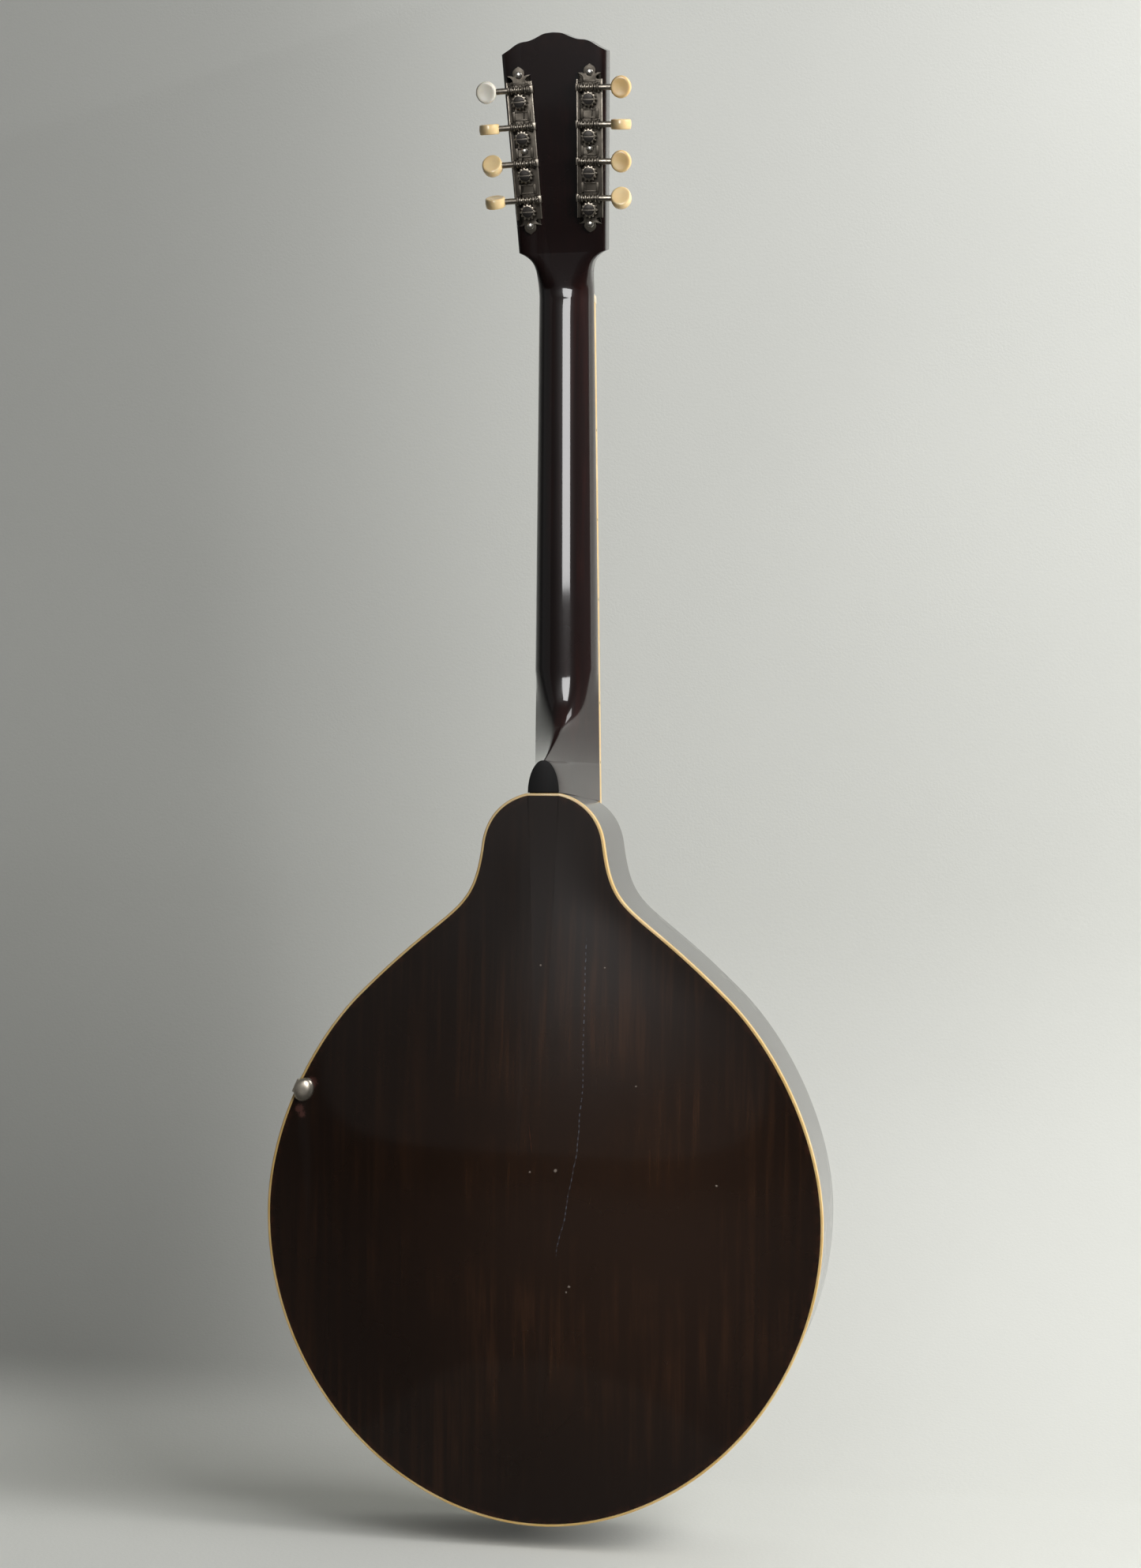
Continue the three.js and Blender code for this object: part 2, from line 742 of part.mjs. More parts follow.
function topBrace() {
  const half = halfWidthAt(braceHeight + braceWidth / 2, liningInner + seat);
  const lower = rimHalf - plateEdge - seat - braceDepth;
  const across = 12;
  const shape = new THREE.Shape();
  shape.moveTo(-half, -lower - braceDepth);
  shape.lineTo(-half, -lower - braceDepth / 2);
  shape.lineTo(-half + braceDepth, -lower);
  shape.lineTo(half - braceDepth, -lower);
  shape.lineTo(half, -lower - braceDepth / 2);
  for (let i = 0; i <= across; i += 1) {
    const x = half - (2 * half * i) / across;
    shape.lineTo(x, -plateInner(topArch, x, braceHeight) - overrun / 2);
  }
  const bar = new THREE.ExtrudeGeometry(shape, { depth: braceWidth, bevelEnabled: false });
  const under = carvedPlate(-1, topArch).translate(0, seat, 0);
  return cut(bar.translate(0, 0, braceHeight - braceWidth / 2), under);
}

// Neck and headstock

const boardFoot = (height) => -jointDepth - Math.tan(neckPitch) * (jointHeight - height);
const neckHalfAt = (height) => THREE.MathUtils.lerp(
  jointWidth / 2, nutWidth / 2, (height - jointHeight) / (nutHeight - jointHeight),
);

// The headstock's own frame: x across, z up its length, y out of its back, from the nut's upper edge.
const headFrame = new THREE.Matrix4().makeRotationX(-headTilt)
  .setPosition(0, boardFoot(headStart), headStart);

const crestCurve = new THREE.SplineCurve(headCrestShares.map(
  ([across, rise]) => new THREE.Vector2((across * headTopWidth) / 2, headCorner + rise * (headLength - headCorner)),
));
const crestPoints = crestCurve.getPoints(32);

function crestAt(x) {
  const i = crestPoints.findIndex((point, k) => k > 0 && point.x >= Math.abs(x) - weldTolerance);
  if (i < 0) return crestPoints[crestPoints.length - 1].y;
  const [low, high] = [crestPoints[i - 1], crestPoints[i]];
  return low.y + ((high.y - low.y) * (Math.abs(x) - low.x)) / (high.x - low.x);
}

function headHalfAt(up) {
  if (up <= headShoulder) {
    const flare = (up / headShoulder) ** shoulderFlareShare;
    return THREE.MathUtils.lerp(nutWidth / 2, headShoulderWidth / 2, flare);
  }
  const share = (up - headShoulder) / (headCorner - headShoulder);
  return THREE.MathUtils.lerp(headShoulderWidth / 2, headTopWidth / 2, share);
}

const heelCapHalfAt = (share) => THREE.MathUtils.lerp(
  heelCapTipWidth / 2, heelCapWidth / 2, (1 - share ** heelCapBowShare) ** heelCapArchShare,
);

// Cross-section of the neck: a flat front and a back that is round on the neck and square on the
// head. The heel narrows towards its cap.
function neckSection({ half, depth, cap, roundness }) {
  const columns = Array.from({ length: neckColumns + 1 }, (unused, i) => (
    Math.sin(Math.PI * (i / neckColumns - 0.5))
  ));
  return columns.map((across) => {
    const fullness = (1 - Math.abs(across) ** roundness) ** (1 / roundness);
    const back = half * across * (1 - (1 - cap) * fullness);
    return { across: half * across, back, depth: depth * fullness };
  });
}

function neckStations() {
  const stations = [];
  const level = (height, depth, cap, roundness) => {
    const half = neckHalfAt(height);
    stations.push(neckSection({ half, depth, cap, roundness }).map((place) => ({
      front: new THREE.Vector3(place.across, boardFoot(height), height),
      back: new THREE.Vector3(place.back, boardFoot(height) + place.depth, height),
    })));
  };
  const heelHeight = heelTip + heelSweep;
  const thicknessAt = (height) => THREE.MathUtils.lerp(
    neckThicknessHeel, neckThicknessNut, (height - heelHeight) / (nutHeight - heelHeight),
  );
  const squareHeel = (height) => heelDepth - boardFoot(height);
  level(bodyLength - tenonLength, squareHeel(bodyLength), heelCapWidth / jointWidth, headSquareness);
  heelCapLengthShares.forEach((share) => {
    const height = heelBase + heelCapLength * share;
    const cap = heelCapHalfAt(share) / neckHalfAt(height);
    level(height, squareHeel(height), cap, headSquareness);
  });
  heelSweepShares.forEach((share) => {
    const height = heelTip + heelSweep * share;
    const extra = (squareHeel(height) - thicknessAt(height)) * (1 - share) ** 3;
    const roundness = THREE.MathUtils.lerp(headSquareness / 2, neckRoundness, Math.sqrt(share));
    const tip = heelCapTipWidth / 2 / neckHalfAt(height);
    level(height, thicknessAt(height) + extra, THREE.MathUtils.lerp(tip, 1, Math.sqrt(share)), roundness);
  });
  neckLengthShares.forEach((share) => {
    const height = THREE.MathUtils.lerp(heelHeight, nutHeight, share);
    level(height, thicknessAt(height), 1, neckRoundness);
  });
  const onHead = (x, y, z) => new THREE.Vector3(x, y, z).applyMatrix4(headFrame);
  shoulderLengthShares.forEach((share) => {
    const up = headShoulder * share;
    const half = headHalfAt(up);
    const depth = THREE.MathUtils.lerp(neckThicknessNut, headThickness, Math.sqrt(share));
    const roundness = THREE.MathUtils.lerp(neckRoundness, headSquareness, share ** 2);
    stations.push(neckSection({ half, depth, cap: 1, roundness }).map((place) => ({
      front: onHead(place.across, 0, up), back: onHead(place.back, place.depth, up),
    })));
  });
  headLengthShares.forEach((share) => {
    const half = THREE.MathUtils.lerp(headShoulderWidth / 2, headTopWidth / 2, share);
    const section = neckSection({ half, depth: headThickness, cap: 1, roundness: headSquareness });
    stations.push(section.map((place) => {
      const crest = crestAt((place.across / half) * (headTopWidth / 2));
      const up = THREE.MathUtils.lerp(headShoulder, crest, share);
      return { front: onHead(place.across, 0, up), back: onHead(place.back, place.depth, up) };
    }));
  });
  return stations;
}

const sides = { treble: 1, bass: -1 };

function tunerFrame(side) {
  return new THREE.Matrix4().makeRotationY(side * tunerSplay)
    .setPosition(side * tunerReach, headThickness + tunerPlateBack, tunerHeight);
}

const postUp = (i) => -wormCentres / 2 + ((tunersPerSide - 1) / 2 - i) * tunerPitch;

function postPlaces() {
  return Object.values(sides).flatMap((side) => Array.from({ length: tunersPerSide }, (unused, i) => (
    new THREE.Vector3(0, 0, postUp(i)).applyMatrix4(tunerFrame(side))
  )));
}

function postHoles() {
  const radius = postDiameter / 2 + running;
  return postPlaces().map((place) => rod(
    new THREE.Vector3(place.x, -veneerFace - overrun, place.z),
    new THREE.Vector3(place.x, headThickness + overrun, place.z), radius, 10,
  ));
}

function neck() {
  const stations = neckStations();
  const wood = pillow(
    stations.map((station) => station.map((place) => place.front)),
    stations.map((station) => station.map((place) => place.back)),
  );
  const bodyPrism = slab(new THREE.Shape(fullOutline(-seat)), -rimHalf - seat, rimHalf + overrun);
  const fitted = cut(wood, bodyPrism);
  const tenonHalf = ribHalf - seat;
  const tenon = slab(tenonShape(0), -tenonHalf, tenonHalf);
  const tongueEnd = boardEnd + tongueSetback;
  const bed = rimHalf - plateEdge / 2;
  const tongue = cut(crossBar([
    [boardFoot(tongueEnd), tongueEnd], [boardFoot(heelTip), heelTip],
    [-bed, heelTip], [-bed, jointHeight], [-plateOuter(topArch, 0, tongueEnd) + overrun / 2, tongueEnd],
  ], tongueWidth / 2), bodyPrism);
  const bedded = cut(joined(fitted, tongue), carvedPlate(-1, topArch).translate(0, -seat, 0));
  const holes = postHoles().map((hole) => hole.applyMatrix4(headFrame));
  return cut(joined(bedded, tenon), ...holes);
}

function heelCap() {
  const steps = 8;
  const shape = new THREE.Shape();
  const right = Array.from({ length: steps + 1 }, (unused, i) => {
    const share = 1 - (1 - i / steps) ** 2;
    return new THREE.Vector2(heelCapHalfAt(share), heelBase + heelCapLength * share);
  });
  shape.setFromPoints([...right, ...mirrored(right).reverse()]);
  return slab(shape, rimHalf - heelCapThickness, rimHalf);
}

function headVeneer() {
  const rows = 12;
  const right = Array.from({ length: rows + 1 }, (unused, i) => {
    const up = seat + (headShoulder - seat) * Math.sqrt(i / rows);
    return new THREE.Vector2(headHalfAt(up), up);
  });
  const crest = crestCurve.getPoints(14).reverse();
  const half = [...right, ...crest];
  const shape = new THREE.Shape([...half, ...mirrored(half.slice(0, -1)).reverse()]);
  const plate = slab(shape, -veneerFace, -seat);
  return cut(plate, ...postHoles());
}

// Fretboard, frets, binding and nut

// A point of the board: across, height along the neck, and rise above the board's underside.
const onBoard = (x, height, rise) => new THREE.Vector3(x, boardFoot(height) - seat - rise, height);

function boardSlab(lowHeight, highHeight, halfAt, lowRise, highRise) {
  const sheet = (rise) => [lowHeight, highHeight].map((height) => (
    [-halfAt(height), halfAt(height)].map((x) => onBoard(x, height, rise))
  ));
  return pillow(sheet(lowRise), sheet(highRise));
}

function fretboard() {
  const halfAt = (height) => neckHalfAt(height) - boardBindingWidth - seat;
  const board = boardSlab(boardEnd + boardBindingWidth + seat, nutHeight - seat, halfAt, 0, boardThickness);
  const frets = Array.from({ length: fretCount }, (unused, i) => {
    const height = nutHeight - scaleLength * (1 - 2 ** (-(i + 1) / 12));
    const crown = (fretWidth * fretCrownShare) / 2;
    const corner = (offset, rise) => {
      const point = onBoard(0, height + offset, rise);
      return [point.y, point.z];
    };
    return crossBar([
      corner(-fretWidth / 2, boardThickness / 2), corner(-fretWidth / 2, boardThickness),
      corner(-crown, boardThickness + fretHeight), corner(crown, boardThickness + fretHeight),
      corner(fretWidth / 2, boardThickness), corner(fretWidth / 2, boardThickness / 2),
    ], halfAt(height) - fretHeight);
  });
  return joined(board, ...frets);
}

function boardBinding() {
  const outer = boardSlab(boardEnd, nutHeight - seat, neckHalfAt, 0, boardThickness);
  const hollowHalf = (height) => neckHalfAt(height) - boardBindingWidth;
  const hollow = boardSlab(
    boardEnd + boardBindingWidth, nutHeight + overrun, hollowHalf, -overrun, boardThickness + overrun,
  );
  return cut(outer, hollow);
}

// Strings: places at the nut, the bridge and the tailpiece, numbered from the bass side
const strings = stringDiameters.flatMap((diameter, course) => [0, 1].map((member) => {
  const across = (spread, pair) => (course - (stringDiameters.length - 1) / 2)
    * ((spread - pair) / (stringDiameters.length - 1)) + (member - 0.5) * pair;
  return {
    course,
    member,
    diameter,
    nutX: across(nutSpread, nutPair),
    bridgeX: across(bridgeSpread, bridgePair),
    tailX: across(tailSpread, tailPair),
  };
}));

const fretTop = boardThickness + fretHeight;
const octaveHeight = nutHeight - scaleLength / 2;
const stringFloorNut = boardFoot(nutHeight) - seat - fretTop - nutAction;
const stringFloorOctave = boardFoot(octaveHeight) - seat - fretTop - octaveAction;
const stringFloorBridge = 2 * stringFloorOctave - stringFloorNut;
const tailFace = -plateOuter(topArch, 0, tailBlockHeight) - tailBlockRise;
const tailBarY = tailFace + tailBlockDepth / 2;
const tailSlotFoot = tailBlockHeight - tailBlockLength / 4;

function nut() {
  const top = stringFloorNut - nutRise;
  const foot = (height) => boardFoot(height) - seat;
  const bar = crossBar([
    [foot(nutHeight), nutHeight], [top, nutHeight], [top + nutRise / 2, headStart], [foot(headStart), headStart],
  ], nutWidth / 2);
  const slots = strings.map(({ nutX, diameter }) => {
    const half = diameter / 2 + seat;
    return block(
      nutX - half, nutX + half, top - overrun, stringFloorNut + seat, nutHeight - overrun, headStart + overrun,
    );
  });
  return cut(bar, ...slots);
}

// Bridge: one piece of ebony that stands on the top and is held by the strings
function bridge() {
  const crown = stringFloorBridge - stringDiameters[0] * slotDepthShare;
  const feet = (x) => -plateOuter(topArch, x, bridgeHeight) + bridgeBedding;
  const half = bridgeWidth / 2;
  const saddle = bridgeSaddleWidth / 2;
  const arch = bridgeArchWidth / 2;
  const wing = feet(half) - bridgeBedding - bridgeWingRise;
  const under = feet(arch) - bridgeBedding - bridgeArchRise;
  const shape = new THREE.Shape();
  shape.moveTo(-half, feet(half));
  shape.lineTo(-half, wing);
  shape.bezierCurveTo(-half + arch / 2, wing, -saddle - arch / 3, crown, -saddle, crown);
  shape.lineTo(saddle, crown);
  shape.bezierCurveTo(saddle + arch / 3, crown, half - arch / 2, wing, half, wing);
  shape.lineTo(half, feet(half));
  shape.lineTo(arch, feet(arch));
  shape.quadraticCurveTo(arch, under, 0, under);
  shape.quadraticCurveTo(-arch, under, -arch, feet(arch));
  const bar = new THREE.ExtrudeGeometry(shape, {
    depth: bridgeLength, bevelEnabled: false, curveSegments: 5,
  }).translate(0, 0, bridgeHeight - bridgeLength / 2);
  const slopes = [-1, 1].map((end) => {
    const crest = bridgeHeight + (end * bridgeCrestLength) / 2;
    const outside = bridgeHeight + end * (bridgeLength / 2 + overrun);
    return crossBar([
      [crown - overrun, crest], [crown, crest], [crown + bridgeSlopeDepth, outside], [crown - overrun, outside],
    ], half);
  });
  const slots = strings.map(({ bridgeX, diameter }) => {
    const reach = diameter / 2 + seat;
    return block(
      bridgeX - reach, bridgeX + reach, crown - overrun, stringFloorBridge + seat,
      bridgeHeight - bridgeLength, bridgeHeight + bridgeLength,
    );
  });
  return cut(bar, carvedPlate(-1, topArch).translate(0, -seat, 0), ...slopes, ...slots);
}

// Tailpiece

const tailHingeY = -rimHalf - seat - tailHingeWall - tailWireDiameter / 2 - running;

function tailBracket() {
  const outerRadius = tailWireDiameter / 2 + running + tailHingeWall;
  const sheet = tailBracketThickness;
  const under = -seat - sheet / 2;
  const strip = crossBar(stripCorners([
    [tailBracketReach, under], [tailHingeY, under], [tailHingeY, tailHingeHeight],
  ], sheet), tailBracketWidth / 2);
  const half = tailBracketWidth / 2;
  const along = (radius, reach) => rod(
    new THREE.Vector3(-reach, tailHingeY, tailHingeHeight), new THREE.Vector3(reach, tailHingeY, tailHingeHeight),
    radius, 12,
  );
  const knuckle = along(outerRadius, half);
  const bore = along(tailWireDiameter / 2 + running, half + overrun);
  return cut(joined(strip, knuckle), bore, pinHole().translate(0, 0, -overrun));
}

// The wire runs through the bracket's knuckle, up both sides and through the block.
function tailFrame() {
  const radius = tailWireDiameter / 2;
  const bend = tailWireDiameter * 1.5;
  const top = tailBlockHeight;
  const half = tailBlockWidth / 2 + bend + radius;
  const foot = tailFootWidth / 2 + radius;
  const corners = [
    new THREE.Vector3(-foot, tailHingeY, tailHingeHeight), new THREE.Vector3(foot, tailHingeY, tailHingeHeight),
    new THREE.Vector3(half, tailBarY, top), new THREE.Vector3(-half, tailBarY, top),
  ];
  const route = corners.flatMap((corner, i) => {
    const before = corners[(i + corners.length - 1) % corners.length];
    const after = corners[(i + 1) % corners.length];
    const towards = (target) => corner.clone().addScaledVector(target.clone().sub(corner).normalize(), bend);
    const curve = new THREE.QuadraticBezierCurve3(towards(before), corner, towards(after));
    return curve.getPoints(3);
  });
  return ringTube(route, radius, 8);
}

// A closed loop of round wire that lies near one plane.
function ringTube(route, radius, count) {
  const centre = route.reduce((sum, p) => sum.add(p), new THREE.Vector3()).divideScalar(route.length);
  const normal = new THREE.Vector3().crossVectors(
    route[0].clone().sub(centre), route[Math.floor(route.length / 4)].clone().sub(centre),
  ).normalize();
  const rings = route.map((point, i) => {
    const before = route[(i + route.length - 1) % route.length];
    const after = route[(i + 1) % route.length];
    const along = after.clone().sub(before).normalize();
    const outward = new THREE.Vector3().crossVectors(along, normal).normalize();
    return circle(point, outward, normal, radius, count);
  });
  const points = rings.flat();
  const faces = rings.flatMap((ring, i) => ring.flatMap((point, k) => {
    const row = i * count;
    const nextRow = ((i + 1) % rings.length) * count;
    const next = (k + 1) % count;
    return [[row + k, row + next, nextRow + next], [row + k, nextRow + next, nextRow + k]];
  }));
  return closedBody(points, faces);
}

function tailBlock() {
  const low = tailBlockHeight - tailBlockLength / 2;
  const high = tailBlockHeight + tailBlockLength / 2;
  const near = tailBarY - tailBlockDepth / 2;
  const far = tailBarY + tailBlockDepth / 2;
  const bevel = tailBlockDepth / 3;
  const bar = crossBar([
    [near, low + bevel], [near, high - bevel], [near + bevel, high], [far, high],
    [far, low], [near + bevel, low],
  ], tailBlockWidth / 2);
  const bore = rod(
    new THREE.Vector3(-tailBlockWidth, tailBarY, tailBlockHeight),
    new THREE.Vector3(tailBlockWidth, tailBarY, tailBlockHeight), tailWireDiameter / 2 + running, 10,
  );
  const slots = strings.map(({ tailX, diameter }) => {
    const reach = diameter / 2 + seat;
    return block(
      tailX - reach, tailX + reach, near - overrun, near + diameter + seat, tailSlotFoot, high + overrun,
    );
  });
  return cut(bar, bore, ...slots);
}

// End pin

function endPin() {
  const head = pinHeadDiameter / 2;
  const top = tailBracketThickness + seat * 2;
  const profile = [
    [0, pinShankLength], [pinTipDiameter / 2, pinShankLength], [pinShankDiameter / 2, 0],
    [pinShankDiameter / 2, -top], [pinNeckDiameter / 2, -top], [pinNeckDiameter / 2, -top - pinNeckLength / 2],
    [head * 0.9, -top - pinNeckLength], [head, -top - pinNeckLength - pinHeadLength / 2],
    [head * 0.75, -top - pinNeckLength - pinHeadLength], [0, -top - pinNeckLength - pinHeadLength],
  ];
  return turned(profile, 16).rotateX(Math.PI / 2);
}

// Pickguard with its side clamp

const guardFace = -rimHalf - guardRise;

function pickguard() {
  const reach = guardTop - guardFoot;
  const innerTop = neckHalfAt(guardTop) + seat;
  const outer = guardShares.map(([across, up]) => new THREE.Vector2(
    guardInnerWidth + across * guardOuterWidth, guardFoot + up * reach,
  ));
  const edge = new THREE.SplineCurve([new THREE.Vector2(innerTop + guardThickness, guardTop), ...outer]);
  const shape = new THREE.Shape([
    new THREE.Vector2(innerTop, guardTop), ...edge.getPoints(18),
    new THREE.Vector2(guardInnerWidth, guardFoot), new THREE.Vector2(neckHalfAt(boardEnd) + seat, boardEnd),
  ]);
  return cut(slab(shape, guardFace, guardFace + guardThickness), clampScrewHole());
}

// The clamp's own frame stands on the outline: x outwards, y towards the back, z along the edge.
function clampFrame() {
  const points = fineOutline;
  const i = points.findIndex((point) => point.y >= clampHeight && point.y > widestHeight);
  const along = points[i].clone().sub(points[i - 1]).normalize();
  const outward = new THREE.Vector3(along.y, 0, -along.x);
  const back = new THREE.Vector3(0, 1, 0);
  const side = new THREE.Vector3().crossVectors(outward, back);
  return new THREE.Matrix4().makeBasis(outward, back, side).setPosition(points[i].x, 0, points[i].y);
}

const clampArmY = guardFace + guardThickness + seat + clampThickness / 2;

// The arm reaches from the rim to its screw, which stands at a share of the pickguard's width.
function clampArmReach() {
  const [outward, , , , , , , , , , , , edge] = clampFrame().elements;
  const screw = guardInnerWidth + guardOuterWidth * clampScrewShare;
  return (edge - screw) / outward + clampWidth / 2;
}

const clampScrewPlace = () => new THREE.Vector3(-clampArmReach() + clampWidth / 2, 0, 0)
  .applyMatrix4(clampFrame());

function clampScrewHole() {
  const place = clampScrewPlace();
  return rod(
    new THREE.Vector3(place.x, guardFace - overrun, place.z),
    new THREE.Vector3(place.x, clampArmY + overrun, place.z), clampScrewDiameter / 2 + seat, 10,
  );
}

function pickguardClamp() {
  const out = seat + clampThickness / 2;
  const backY = rimHalf + out;
  const path = [
    [-clampFootReach, backY], [out, backY], [out, -backY], [-clampLipReach, -backY],
    [-clampLipReach * 2, clampArmY], [-clampArmReach(), clampArmY],
  ];
  // The band is drawn as [outwards, depth], so its axes are changed over.
  const axes = [new THREE.Vector3(0, 0, 1), new THREE.Vector3(1, 0, 0), new THREE.Vector3(0, 1, 0)];
  const strip = crossBar(stripCorners(path, clampThickness), clampWidth / 2)
    .applyMatrix4(new THREE.Matrix4().makeBasis(...axes));
  const pad = new THREE.SphereGeometry(clampPadLength / 2, 10, 6)
    .scale(clampPadWidth / clampPadLength, (2 * clampPadRise) / clampPadLength, 1)
    .translate(-clampPadWidth / 2 + out, backY, 0);
  const floor = rimHalf + seat;
  const under = block(-bodyWidth, bodyWidth, floor - bodyWidth, floor, -bodyWidth, bodyWidth);
  const foot = cut(pad, under);
  return cut(joined(strip, foot).applyMatrix4(clampFrame()), clampScrewHole());
}

function clampScrew() {
  const head = clampScrewHeadDiameter / 2;
  const shank = clampScrewDiameter / 2;
  const under = guardFace - seat;
  const reach = guardThickness + seat * 2 + clampThickness;
  const profile = [
    [0, reach], [shank, reach], [shank, 0], [head, 0], [head * 0.8, -clampScrewHeadRise / 2],
    [0, -clampScrewHeadRise],
  ];
  const place = clampScrewPlace();
  return turned(profile, 10).translate(place.x, under, place.z);
}

// Tuner plates

function fleur(sign) {
  const half = tunerPlateWidth / 2;
  const start = tunerPlateLength / 2;
  return fleurShares.map(([across, up]) => new THREE.Vector2(
    across * half, sign * (start + up * tunerTipLength),
  ));
}

function tunerPlate() {
  const half = tunerPlateWidth / 2;
  const start = tunerPlateLength / 2;
  const tip = start + tunerTipLength;
  const right = [
    new THREE.Vector2(0, -tip), ...fleur(-1).reverse(), new THREE.Vector2(half, -start),
    new THREE.Vector2(half, start), ...fleur(1), new THREE.Vector2(0, tip),
  ];
  const shape = new THREE.Shape([...right, ...mirrored(right.slice(1, -1)).reverse()]);
  const radius = postDiameter / 2 + running;
  for (let i = 0; i < tunersPerSide; i += 1) {
    const hole = new THREE.Path();
    hole.absarc(0, postUp(i), radius, 0, 2 * Math.PI);
    shape.holes.push(hole);
  }
  const plate = slab(shape, 0, tunerPlateThickness, 5);
  const ears = [];
  const bores = [];
  for (let i = 0; i < tunersPerSide; i += 1) {
    const up = postUp(i) + wormCentres;
    [1, -1].forEach((hand) => {
      const centre = (hand * earSpan) / 2;
      ears.push(block(
        centre - earThickness / 2, centre + earThickness / 2, tunerPlateThickness / 2, earHeight,
        up - earWidth / 2, up + earWidth / 2,
      ));
    });
    bores.push(rod(
      new THREE.Vector3(-half, wormAxisHeight, up), new THREE.Vector3(half, wormAxisHeight, up),
      wormShaftDiameter / 2 + running, 8,
    ));
  }
  const domes = [-1, 0, 1].map((place) => turned([
    [0, tunerPlateThickness / 2], [plateScrewDiameter / 2, tunerPlateThickness / 2],
    [plateScrewDiameter / 2, tunerPlateThickness],
    [(plateScrewDiameter / 2) * 0.7, tunerPlateThickness + plateScrewRise * 0.7],
    [0, tunerPlateThickness + plateScrewRise],
  ], 8).translate(0, 0, (place * plateScrewSpan) / 2));
  return cut(joined(plate, ...ears, ...domes), ...bores);
}

// Worm and gear

const wormLead = (Math.PI * gearPitchDiameter) / gearTeeth;

// Post, gear and slotted screw turn as one. The teeth lean by the worm's lead.
function gearPost() {
  const [tip, root] = [gearTipDiameter / 2, gearRootDiameter / 2];
  const lean = wormLead / (Math.PI * ((wormDiameter + wormRootDiameter) / 2)) / (gearPitchDiameter / 2);
  const ringAt = (offset) => {
    const ring = [];
    for (let tooth = 0; tooth < gearTeeth; tooth += 1) {
      toothShares.forEach(([across, rise]) => {
        const angle = ((tooth + across) * 2 * Math.PI) / gearTeeth + lean * offset;
        const radius = root + (tip - root) * rise;
        ring.push(new THREE.Vector3(
          radius * Math.sin(angle), wormAxisHeight + offset, radius * Math.cos(angle),
        ));
      });
    }
    return ring;
  };
  const wheel = loft([ringAt(-gearThickness / 2), ringAt(gearThickness / 2)]);
  const top = wormAxisHeight + gearThickness / 2;
  const bottom = -headThickness - tunerPlateBack - veneerFace - postRise;
  const post = postDiameter / 2;
  const collar = gearCollarDiameter / 2;
  const screw = gearScrewDiameter / 2;
  const waist = postWaistDiameter / 2;
  const veneer = -headThickness - tunerPlateBack - veneerFace - postTaper;
  const core = turned([
    [0, bottom], [post, bottom], [post, bottom + postCapLength], [waist, bottom + postCapLength + postTaper],
    [waist, veneer - postTaper], [post, veneer], [post, wormAxisHeight], [collar, wormAxisHeight],
    [collar, top + gearCollarRise], [screw, top + gearCollarRise],
    [screw, top + gearCollarRise - gearScrewDip], [0, top + gearCollarRise],
  ], 10);
  const slot = block(
    -screw, screw, top + gearCollarRise - screwSlotDepth, top + gearCollarRise + overrun,
    -screwSlotWidth / 2, screwSlotWidth / 2,
  );
  return cut(joined(wheel, core), slot);
}

// A single-start thread: the radius follows the phase, which moves on by one with each lead.
function wormShaft(side) {
  const [crest, root] = [wormDiameter / 2, wormRootDiameter / 2];
  const [journal, collar] = [wormShaftDiameter / 2, wormCollarDiameter / 2];
  const reach = (wormLead * wormTurns) / 2;
  const ringAt = (x, radiusAt) => Array.from({ length: wormSteps }, (unused, k) => {
    const angle = (2 * Math.PI * k) / wormSteps;
    const radius = radiusAt(k);
    return new THREE.Vector3(
      x, wormAxisHeight + radius * Math.cos(angle), wormCentres + radius * Math.sin(angle),
    );
  });
  const even = (radius) => () => radius;
  const earInner = (earSpan - earThickness) / 2 - seat;
  const innerEnd = (earSpan + earThickness) / 2 + wormInnerEnd;
  const outerEnd = buttonReach - buttonWidth / 2 + buttonSocket;
  const [left, right] = side > 0 ? [innerEnd, outerEnd] : [outerEnd, innerEnd];
  const rings = [
    ringAt(-left, even(journal)), ringAt(-earInner, even(journal)), ringAt(-earInner, even(collar)),
    ringAt(-earInner + wormCollarLength, even(root)),
  ];
  const rows = wormTurns * wormSteps;
  const facing = wormSteps / 4 - (wormSteps * wormTurns) / 2 + rows * 2;
  for (let i = 0; i <= rows; i += 1) {
    const fade = i === 0 || i === rows ? 0 : 1;
    const radiusAt = (k) => root
      + (crest - root) * fade * threadShares[(i - k + facing) % wormSteps];
    rings.push(ringAt(-reach + (wormLead * i) / wormSteps, radiusAt));
  }
  rings.push(
    ringAt(earInner - wormCollarLength, even(root)), ringAt(earInner, even(collar)),
    ringAt(earInner, even(journal)), ringAt(right, even(journal)),
  );
  return loft(rings);
}

function tunerButton(side, turn) {
  const radius = buttonLength / 2;
  const half = buttonThickness / 2;
  const profile = [
    [0, -half + buttonDish], [radius * buttonRimShare, -half], [radius, -half * buttonEdgeShare],
    [radius, half * buttonEdgeShare], [radius * buttonRimShare, half], [0, half - buttonDish],
  ];
  const disc = turned(profile, 12).scale(buttonWidth / buttonLength, 1, 1)
    .rotateX(THREE.MathUtils.degToRad(turn));
  const inner = -side * (buttonWidth / 2 + overrun);
  const depth = -side * (buttonWidth / 2 - buttonSocket - seat);
  const socket = rod(
    new THREE.Vector3(inner, 0, 0), new THREE.Vector3(depth, 0, 0), wormShaftDiameter / 2 + seat, 8,
  );
  return cut(disc, socket).translate(side * buttonReach, wormAxisHeight, wormCentres);
}

// Strings

